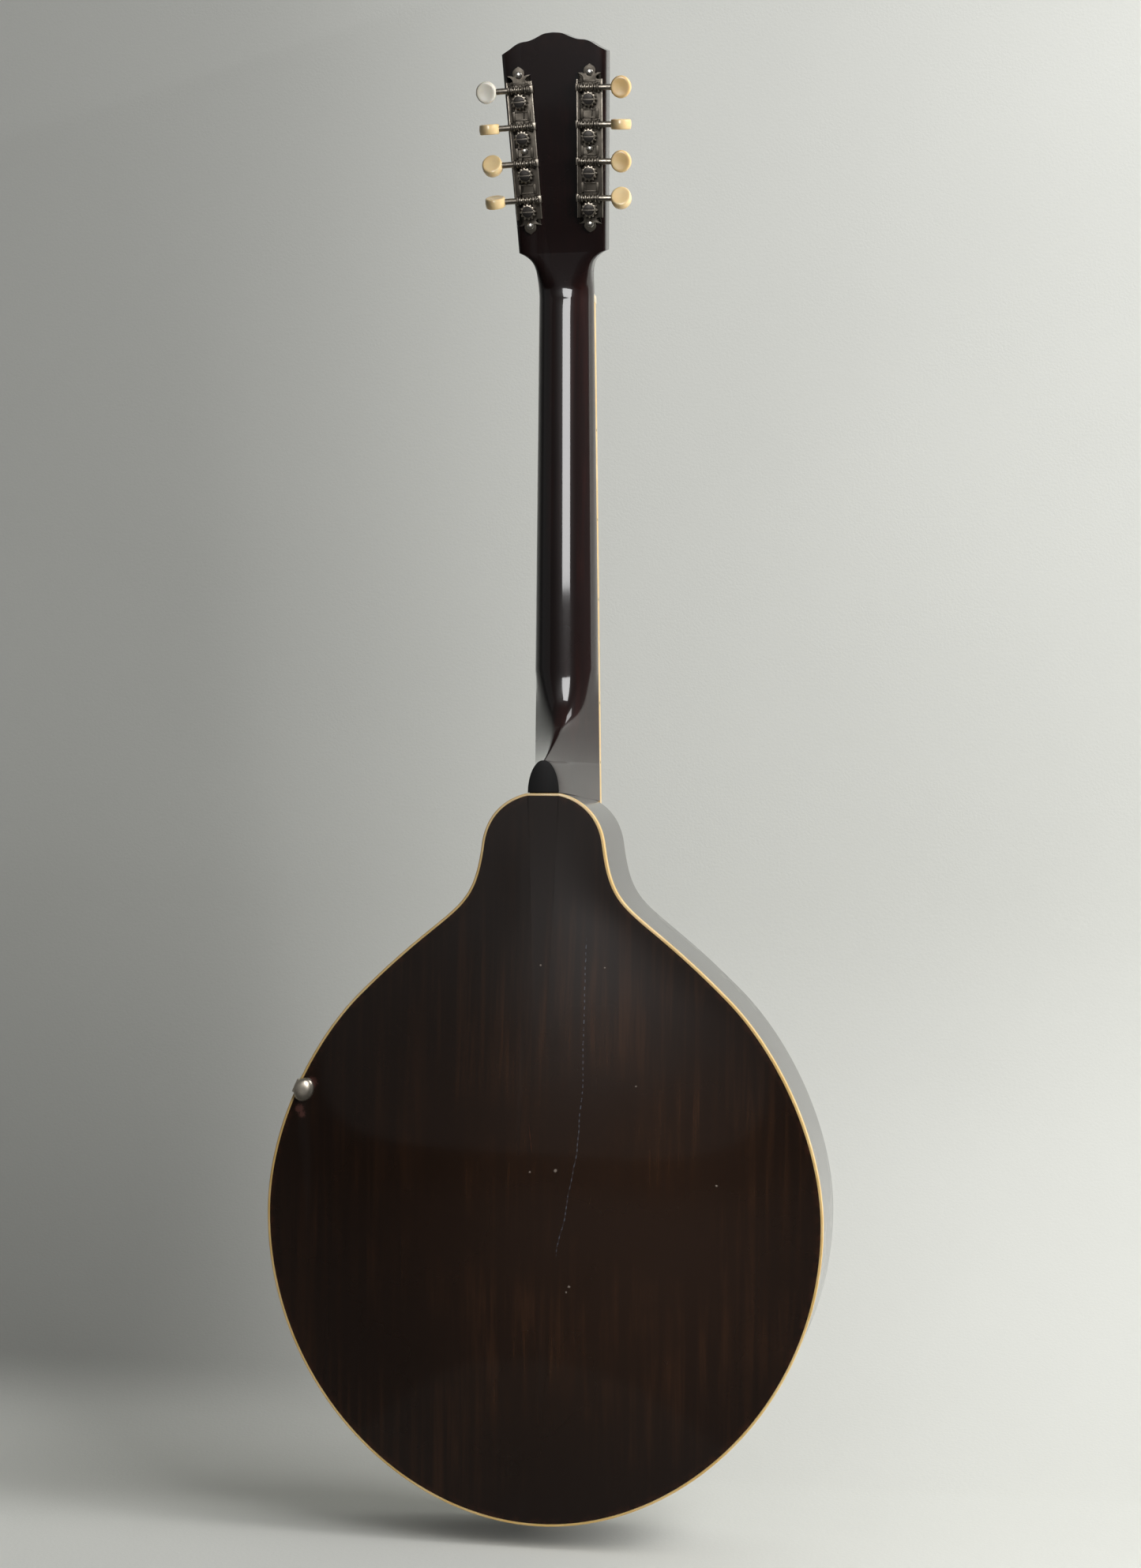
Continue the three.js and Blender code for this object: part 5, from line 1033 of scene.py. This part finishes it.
# The pressing carries ears and rails between the gears. Its long edges are turned up into bright
# flanges, and a bright scroll closes the outer ear of each worm.
def tunerPlate(name, side):
    half, top, end = plate["half"], plate["thickness"], plate["length"] / 2
    edge, low, cross, scroll = plate["flange"] / 2, plate["railIn"], plate["crossWidth"], plate["scrollHalf"]
    pressing = [slab(plateOutline(), 0, top, 0.2)]
    bright = [
        box(middle - edge, middle + edge, 0.3, top + plate["flangeRise"], -end, end)
        for middle in (-side * (half - edge), side * (half - edge))
    ]
    outside = tuner["earSpan"] / 2 + tuner["earThickness"] / 2
    for i in range(tuner["count"]):
        up = postUp(i) + tuner["centres"]
        pressing += [ear(hand * tuner["earSpan"] / 2, up) for hand in (1, -1)]
        across = -side * (outside + scroll), -side * (outside - plate["scrollIn"])
        bright.append(box(*across, top * 0.5, plate["scrollTop"], up - scroll, up + scroll, 0.6))
        first = up + tuner["earWidth"] / 2 + 0.5
        last = postUp(i - 1) - gear["tip"] - 0.4 if i else end - 1.0
        for hand in (1, -1):
            across = sorted((hand * low, hand * plate["railOut"]))
            pressing.append(box(*across, 0.5, top + plate["railRise"], first, last, 0.3))
        for foot in (first, last - cross):
            pressing.append(box(-low, low, 0.5, top + plate["crossRise"], foot, foot + cross, 0.3))
    dome = domed(plate["screwRadius"], plate["screwRise"], top)
    screws = [shifted(dome, (0, 0, place * plate["screwSpan"] / 2)) for place in (-1, 0, 1)]
    for label, forms, node, finish in (
        ("platePressing", pressing, f"tuner_plate_{name}", platePlain),
        ("plateFlange", bright, None, finishes["worn_nickel"]),
        ("plateScrews", screws, None, finishes["nickel"]),
    ):
        newPiece(f"{label}_{name}", moved(together(forms), tunerFrame(side)), "nickel", node, finish)


# Teeth are cosine bumps, drawn in towards both faces and leaned by the worm's lead
def toothedWheel():
    steps = gear["teeth"] * gear["steps"]
    angle = np.arange(steps) * 2 * np.pi / steps
    across = (np.arange(steps) / gear["steps"] + 0.5) % 1 - 0.5
    bump = np.cos(np.pi * across) ** 1.3
    offset = gear["half"] * np.sin(np.linspace(-np.pi / 2, np.pi / 2, 11))[:, None]
    fullness = np.sqrt(np.maximum(1 - np.abs(offset / gear["half"]) ** 3, 0))
    lean = wormLead / (np.pi * (worm["crest"] + worm["root"])) / (gear["pitch"] / 2)
    radius = gear["root"] + (gear["tip"] - gear["root"]) * bump * fullness
    turnBy = angle + lean * offset
    return loft(pointsOf(radius * np.sin(turnBy), tuner["axis"] + offset, radius * np.cos(turnBy)))


def stringPost():
    post, waist, bottom, axis = gear["post"], gear["waist"], -gear["bottom"], tuner["axis"]
    collar, screw, cap, taper = gear["collar"], gear["screw"], gear["cap"], gear["taper"]
    face = -head["thickness"] - head["veneer"] - 2 * seat
    top = axis + gear["half"]
    rim = top + gear["collarRise"]
    return turned([
        (0, bottom), (post * 0.7, bottom), (post * 0.94, bottom + 0.15), (post, bottom + 0.5),
        (post, bottom + cap), (waist, bottom + cap + taper), (waist, face - 2 * taper), (post, face - taper),
        (post, axis), (collar, axis), (collar, rim - 0.25), (collar - 0.1, rim - 0.05), (collar - 0.2, rim),
        (screw + 0.08, rim), (screw + 0.03, rim - 0.08), (screw, top - 0.2), (0, top - 0.2),
    ], 40)


# The gear's screw: two half-round cheeks with the slot between them
def gearScrew():
    top = tuner["axis"] + gear["half"] + gear["collarRise"] - 0.1
    floor = top - gear["slotDepth"]
    radius, half = gear["screw"] - 0.08, gear["slot"] / 2
    start = math.asin(half / radius)
    arc = np.linspace(start, np.pi - start, 25)
    cheek = pointsOf(radius * np.cos(arc), radius * np.sin(arc))
    cheeks = [slab(cheek * (1, hand), floor - 0.1, top, 0.18) for hand in (1, -1)]
    return together([*cheeks, turned([(0, top - 1.2), (radius, top - 1.2), (radius, floor), (0, floor)], 40)])


# The thread's radius peaks where the phase, one turn for each lead, is a whole number
def wormShaft(side):
    root, journal, collar, edge = worm["root"], worm["shaft"], worm["collar"], worm["edge"]
    fold = (tuner["earSpan"] - tuner["earThickness"]) / 2 - seat
    collarEnd = fold - worm["collarLength"]
    threadEnd = collarEnd - worm["runIn"]
    tips = (
        (tuner["earSpan"] + tuner["earThickness"]) / 2 + worm["innerEnd"],
        button["reach"] - button["width"] / 2 + button["socket"],
    )

    def ending(tip):
        return np.array([
            (tip, 0.72 * journal), (tip - 0.3, 0.93 * journal), (tip - 0.7, journal), (fold, journal),
            (fold, collar - edge), (fold - edge, collar), (collarEnd + edge, collar), (collarEnd, collar - edge),
            (collarEnd, root),
        ])

    left, right = (ending(tip) for tip in tips[::side])
    left = left * (-1, 1)
    right = right[::-1]
    threadX = np.linspace(-threadEnd, threadEnd, 121)
    angle = fullTurn(56)
    phase = (threadX[:, None] / wormLead - angle[None] / (2 * np.pi) + 0.25 + 0.5) % 1 - 0.5
    fade = np.clip((threadEnd - np.abs(threadX)) / worm["fade"], 0, 1)[:, None]
    sharpness = 1 + np.abs(phase / worm["threadHalf"]) ** worm["sharpness"]
    thread = root + (worm["crest"] - root) * fade / sharpness
    x = np.concatenate([left[:, 0], threadX, right[:, 0]])[:, None]
    radius = np.concatenate([left[:, 1:] + 0 * angle, thread, right[:, 1:] + 0 * angle])
    y, z = tuner["axis"] + radius * np.cos(angle), tuner["centres"] + radius * np.sin(angle)
    return loft(pointsOf(x, y, z))


# A button: a pillow with a shallow dish on both faces, turned about its worm's axis
def buttonForm(side, degrees):
    s = np.linspace(0, 1, 24)
    dish = button["dish"] * np.maximum(1 - (s / 0.82) ** 2, 0) ** 1.5
    top = button["thickness"] / 2 * (1 - s**16) ** (1 / 2.6) - dish
    radius = button["length"] / 2 * s
    profile = [*zip(radius, -top), *zip(radius[-2::-1], top[-2::-1])]
    disc = turned(profile, 64, button["width"] / button["length"])
    place = side * button["reach"], tuner["axis"], tuner["centres"]
    return shifted(moved(disc, turnX(math.radians(degrees))), place)


def tuners():
    for name, side in sides.items():
        for i in range(tuner["count"]):
            label = f"{name}_{i + 1}"
            at = tunerFrame(side) @ turnY(0, (0, 0, postUp(i)))
            wheel, shaft = f"tuner_{label}_gear", f"tuner_{label}_worm"
            cream = paleButton if label == button["palest"] else None
            gearForm = together([toothedWheel(), stringPost()])
            knob = buttonForm(side, button["turns"][name][i])
            for piece, form, slotName, node, finish, body, sharp in (
                ("gearWheel_{}", gearForm, "worn_nickel", "post_", None, wheel, 35),
                ("gearScrew_{}", gearScrew(), "worn_nickel", None, screwSteel, wheel, 35),
                ("wormShaft_{}", wormShaft(side), "worm_nickel", "worm_shaft_", None, shaft, 50),
                ("button_{}_shaped", knob, "button_cream", "button_", cream, shaft, 35),
            ):
                replaced = node and node + label
                newPiece(piece.format(label), moved(form, at), slotName, replaced, finish, body, sharp)


for name, side in sides.items():
    tunerPlate(name, side)
tuners()
print("tuners made")


# Strings: from the tailpiece over bridge and nut, then round their posts towards the wood

strings = {
    "diameters": (1.9, 1.2, 0.86, 0.56), "names": "cgda", "nut": (29.0, 3.0), "bridge": (47.0, 4.0),
    "tail": (52.0, 5.0), "nutAction": 0.5, "octaveAction": 2.6, "turns": (2, 2, 2.5, 3), "gap": 0.75,
    "rises": (10, 7, 14, 8.6), "steps": 36, "sides": 14, "longest": 6.0,
}
tail = {
    "share": 0.528, "hinge": 9.0, "length": 13.0, "depth": 9.0, "rise": 11.0, "width": 72.0, "wire": 3.0,
    "foot": 24.0, "bend": 4.5, "wireSides": 20,
}
bridgeHeight = nutHeight - neck["scale"]
tailHeight = blendOf(tail["hinge"], bridgeHeight, tail["share"])
fretTop = board["thickness"] + board["fretHeight"]
floorNut = boardFoot(nutHeight) - seat - fretTop - strings["nutAction"]
floorOctave = boardFoot(nutHeight - neck["scale"] / 2) - seat - fretTop - strings["octaveAction"]
floorBridge = 2 * floorOctave - floorNut
tailFace = -plateOuter(plates["topArch"], 0, tailHeight) - tail["rise"]


# Where a string stands across: spread holds the whole width and the width of one pair
def across(spread, course, member):
    whole, pair = spread
    return (course - 1.5) * (whole - pair) / 3 + (member - 0.5) * pair


def stringRoute(course, member):
    diameter, windings = strings["diameters"][course], strings["turns"][course]
    radius = diameter / 2
    nutX, bridgeX, tailX = (across(strings[key], course, member) for key in ("nut", "bridge", "tail"))
    side = -1 if course < 2 else 1
    outward = 2 * course + member if side < 0 else 7 - 2 * course - member
    i = tuner["count"] - 1 - outward
    centre = (turnY(side * tuner["splay"], (side * tuner["reach"], 0, tuner["height"])) @ (0, 0, postUp(i), 1))[:3]
    around = gear["waist"] + seat + radius
    lean = math.atan2(side * (centre[0] - nutX) - around, centre[2])
    turns = np.linspace(0, windings, int(windings * strings["steps"]) + 1)
    angle = lean + 2 * np.pi * turns
    winding = pointsOf(
        centre[0] - side * around * np.cos(angle), -strings["rises"][i] + (diameter + strings["gap"]) * turns,
        centre[2] + around * np.sin(angle),
    )
    onward = winding[-1:] - winding[-2:-1]
    winding = np.concatenate([winding, winding[-1:] + unit(onward) * diameter])
    bodyPart = np.array([
        (tailX, tailFace + radius, tailHeight - tail["length"] / 4 + seat),
        (bridgeX, floorBridge - radius, bridgeHeight - 1.0),
        (nutX, floorNut - radius, nutHeight), (nutX, floorNut - radius, headStart),
    ])
    return np.concatenate([bodyPart, onHead(winding)]), radius


# Short straight pieces are added where the route is long, so that the wrap's pitch stays true
def finer(route):
    runs = [
        np.linspace(a, b, max(1, int(np.linalg.norm(b - a) / strings["longest"])), endpoint=False)
        for a, b in zip(route[:-1], route[1:])
    ]
    return np.concatenate([*runs, route[-1:]])


# The sections lean on the y axis, so no twist builds up along the string
def oneString(course, member):
    route, radius = stringRoute(course, member)
    route = finer(route)
    ahead = unit(np.gradient(route, axis=0))
    aside = unit(np.cross(ahead, [0.0, 1.0, 0.0]))
    rings = tube(route, radius, strings["sides"], aside, np.cross(aside, ahead))
    length = np.concatenate([[0], np.cumsum(np.linalg.norm(np.diff(route, axis=0), axis=1))])
    name = f"string_{strings['names'][course]}{member + 1}"
    slotName = "wound_bronze" if course < 2 else "plain_steel"
    newPiece(f"{name}_wire", loft(rings), slotName, name, along=np.repeat(length, strings["sides"]))


for course in range(4):
    for member in (0, 1):
        oneString(course, member)
print("strings made")


# Tail wire, end pin, pickguard and clamp


def tailWire():
    radius, hingeY = tail["wire"] / 2, -rimHalf - 3.7
    half, foot = tail["width"] / 2 + 6.0, tail["foot"] / 2 + radius
    low, high = (hingeY, tail["hinge"]), (tailFace + tail["depth"] / 2, tailHeight)
    corners = np.array([(-foot, *low), (foot, *low), (half, *high), (-half, *high)])
    bends = [bend(corners[k - 1], corners[k], corners[(k + 1) % 4], tail["bend"], 12) for k in range(4)]
    route = np.concatenate(bends)
    ahead = unit(np.roll(route, -1, 0) - np.roll(route, 1, 0))
    normal = unit(np.cross(corners[1:2] - corners[:1], corners[2:3] - corners[1:2]))
    rings = tube(route, radius, tail["wireSides"], np.cross(ahead, normal), normal + 0 * ahead)
    newPiece("tailWire", closedForm(rings), "nickel", "tailpiece_frame")


# End pin: (radius, depth below the foot of the body). It is short enough to stay hidden behind the
# rim, as in the photograph.
pinProfile = [
    (0, 22), (2.2, 22), (2.5, 21.7), (3.5, 0), (3.5, -1.3), (4, -1.3), (4, -2.6), (4.25, -3.7), (5, -4.7),
    (5.85, -5.3), (6.25, -6.0), (6.5, -6.8), (6.5, -7.4), (6.2, -8.2), (5.6, -8.8), (4.6, -9.2), (3, -9.3),
    (0, -9.3),
]
guard = {
    "thickness": 2.0, "rise": 17.6, "topGap": 71.0, "footGap": 11.2, "inner": 30.0, "outer": 68.0,
    "shares": [(0.04, 0.93), (0.35, 0.76), (0.75, 0.5), (1, 0.22), (0.9, 0.05), (0.6, 0)],
}
guardFoot = bridgeHeight + 6.5 + guard["footGap"]
guardTop = jointHeight - guard["topGap"]
guardFace = -rimHalf - guard["rise"]


def pickguard():
    innerTop, innerFoot = (neckHalfAt(height) + seat for height in (guardTop, boardEnd))
    spots = [
        (guard["inner"] + x * guard["outer"], blendOf(guardFoot, guardTop, up)) for x, up in guard["shares"]
    ]
    edge = splineThrough([(innerTop + guard["thickness"], guardTop), *spots], 8)
    plan = [(innerTop, guardTop), *edge, (guard["inner"], guardFoot), (innerFoot, boardEnd)]
    newPiece("guardPlate", slab(plan, guardFace, guardFace + guard["thickness"], 0.35), "tortoise", "pickguard")


clamp = {
    "heightShare": 0.452, "width": 9.0, "thickness": 1.4, "foot": 9.0, "lip": 8.0, "screwShare": 0.8,
    "padWidth": 13.0, "padLength": 16.0, "padRise": 3.0, "bend": 2.0,
}


# x outwards, y towards the back, z along the edge of the body
def clampFrame():
    height = blendOf(guardFoot, guardTop, clamp["heightShare"])
    fine = outlineRight(240)
    i = int(np.argmax((fine[:, 1] >= height) & (fine[:, 1] > bodyLength * outline["widest"])))
    ahead = (fine[i] - fine[i - 1]) / np.linalg.norm(fine[i] - fine[i - 1])
    matrix = np.eye(4)
    matrix[:3, 0] = (ahead[1], 0, -ahead[0])
    matrix[:3, 1] = (0, 1, 0)
    matrix[:3, 2] = np.cross(matrix[:3, 0], matrix[:3, 1])
    matrix[:3, 3] = (fine[i][0], 0, fine[i][1])
    return matrix


# A foot on the back: a low dome with a flat skirt, and the band that folds over the rim
def clampPiece():
    at = clampFrame()
    thick, half, foot, lip = clamp["thickness"], clamp["width"] / 2, clamp["foot"], clamp["lip"]
    out = seat + thick / 2
    backY = rimHalf + out
    armY = guardFace + guard["thickness"] + seat + thick / 2
    reach = (at[0, 3] - guard["inner"] - guard["outer"] * clamp["screwShare"]) / at[0, 0] + half
    corners = np.array([
        (-foot, backY), (out, backY), (out, -backY), (-lip, -backY), (-lip * 2, armY), (-reach, armY),
    ])
    bends = [bend(*corners[k:k + 3], clamp["bend"], 8) for k in range(4)]
    band = strip(np.concatenate([corners[:1], *bends, corners[-1:]]), clamp["width"], thick, 0.3)
    rise, skirt = clamp["padRise"] + out - seat, rimHalf + seat
    share = np.sin(np.linspace(0, 1, 16)[::-1] * math.pi / 2)
    points, faces = turned([(0, skirt), (1, skirt), *zip(share, skirt + rise * (1 - share**3.2) ** 0.5)], 56)
    wide, long = clamp["padWidth"] / 2, clamp["padLength"] / 2
    pad = points * (wide, 1, long) + (out - wide, 0, 0), faces
    newPiece("clampBand", moved(together([band, pad]), at), "worn_nickel", "pickguard_clamp", clampNickel)


tailWire()
newPiece("endPinTurned", moved(turned(pinProfile, 56), turnX(math.pi / 2)), "ebony", "end_pin")
pickguard()
clampPiece()
print("fittings made")


# CAD pieces that stay as they are get the same finishes
restFinish = {
    "neck_block": "inner_wood", "end_block": "inner_wood", "top_lining": "inner_wood", "back_lining": "inner_wood",
    "top_brace": "inner_wood", "nut": "bone", "bridge": "ebony", "tailpiece_bracket": "nickel",
    "tailpiece_block": "ebony", "clamp_screw": "nickel",
}
for node, slotName in restFinish.items():
    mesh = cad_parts[node].data
    mesh.materials.clear()
    mesh.materials.append(finishes[slotName])


# Studio, in metres: a pale sweep with a painted shadow towards its lower corner, that ends where no ray of the
# camera needs it. The large window to the picture's right is two lights, because its light on rough
# surfaces and its mirror image differ in strength. The strip makes only the bright line on the neck.

studio = {
    "floor": -0.8170, "wall": -0.45, "radius": 0.4, "half": 2.4, "front": 3.2, "height": 2.6,
    "paperEnd": (0.3, 0.36), "mirrorEnd": (-0.02, 0.1), "shadeFrom": (0.0, 0.42), "shadeAbove": (-0.813, -0.77),
    "shadeDeepens": (-0.3, -0.76), "shade": (0.34, 0.342, 0.32), "room": 0.095, "air": 0.62,
}
# Place, aim, width and height, and power of each light
window = (-1.9, 0.95, 0.45), (0, 0, -0.1), (1.9, 2.3)
lights = {
    "key": (*window, 60.0),
    "sheen": (*window, 18.0),
    "strip": ((0.06, 1.95, 0.5), (0, 0, 0.25), (0.62, 1.3), 30.0),
    "fill": ((2.1, 1.1, 0.4), (0, 0, -0.2), (1.8, 2.0), 1.2),
    "backdropLight": ((-1.4, 0.25, 1.0), (0.2, -0.55, -0.3), (0.8, 0.8), 12.0),
}


def paperMaterial():
    material, shade = newMaterial("paper")
    place = shade.here()
    spot, ray = shade.node("SeparateXYZ", {"Vector": place}), shade.node("LightPath")
    clouds = shade.mask(shade.noise(place, 1.4, 3.0), 0.3, 0.7)
    paper = shade.mix(clouds, (0.7, 0.705, 0.665), (0.75, 0.755, 0.712))
    # Painted shadow on the paper: towards +x and above the floor, deeper lower down
    deeper = shade.plus(shade.times(shade.mask(spot["Z"], *studio["shadeDeepens"]), 0.5), 0.5)
    aside, above = shade.mask(spot["X"], *studio["shadeFrom"]), shade.mask(spot["Z"], *studio["shadeAbove"])
    paper = shade.mix(shade.times(aside, above, deeper), paper, studio["shade"])
    mirrored = shade.times(ray["Is Glossy Ray"], shade.mask(spot["Y"], *studio["mirrorEnd"]), 0.93)
    unseen = shade.math("SUBTRACT", 1.0, ray["Is Camera Ray"])
    bounced = shade.times(unseen, shade.mask(spot["Y"], *studio["paperEnd"]))
    paper = shade.mix(shade.math("MAXIMUM", bounced, mirrored), paper, (0.012, 0.012, 0.012))
    dressed(material, paper, 0.9, shade.noise(place, 500.0), 0.0001)
    # The paper doesn't hide the instrument from behind
    nodes = material.node_tree.nodes
    behind, clear = shade.node("NewGeometry")["Backfacing"], shade.node("BsdfTransparent")[0]
    either = shade.node("MixShader", {0: behind, 1: nodes["Principled BSDF"].outputs[0], 2: clear})[0]
    shade.feed(nodes["Material Output"].inputs["Surface"], either)
    return material


def sweep():
    wall, radius, floor = studio["wall"], studio["radius"], studio["floor"]
    arc = np.linspace(0, np.pi / 2, 16)
    curve = zip(wall + radius * (1 - np.sin(arc)), floor + radius * (1 - np.cos(arc)))
    side = [(studio["front"], floor), *curve, (wall, studio["height"])]
    points = [(x, y, z) for y, z in side for x in (-studio["half"], studio["half"])]
    mesh = bpy.data.meshes.new("sweep")
    mesh.from_pydata(points, [], gridFaces(len(side), 2))
    mesh.shade_smooth()
    mesh.materials.append(paperMaterial())
    placed("sweep", mesh)


sweep()
for name, (place, aim, size, power) in lights.items():
    light = bpy.data.lights.new(name, "AREA")
    light.shape = "RECTANGLE"
    light.size, light.size_y = size
    light.energy = power
    lamp = placed(name, light, place, Vector(aim) - Vector(place))
    lamp.visible_glossy = name != "key"
    lamp.visible_diffuse = name != "strip"

world = bpy.data.worlds.new("room")
bpy.context.scene.world = world
world.use_nodes = True
air, background = Shading(world.node_tree), world.node_tree.nodes["Background"].inputs
air.feed(background["Color"], (0.92, 0.94, 0.93))
levels = {"Value": air.node("LightPath")["Is Camera Ray"], "To Min": studio["room"], "To Max": studio["air"]}
air.feed(background["Strength"], air.node("MapRange", levels)["Result"])
print("studio made")
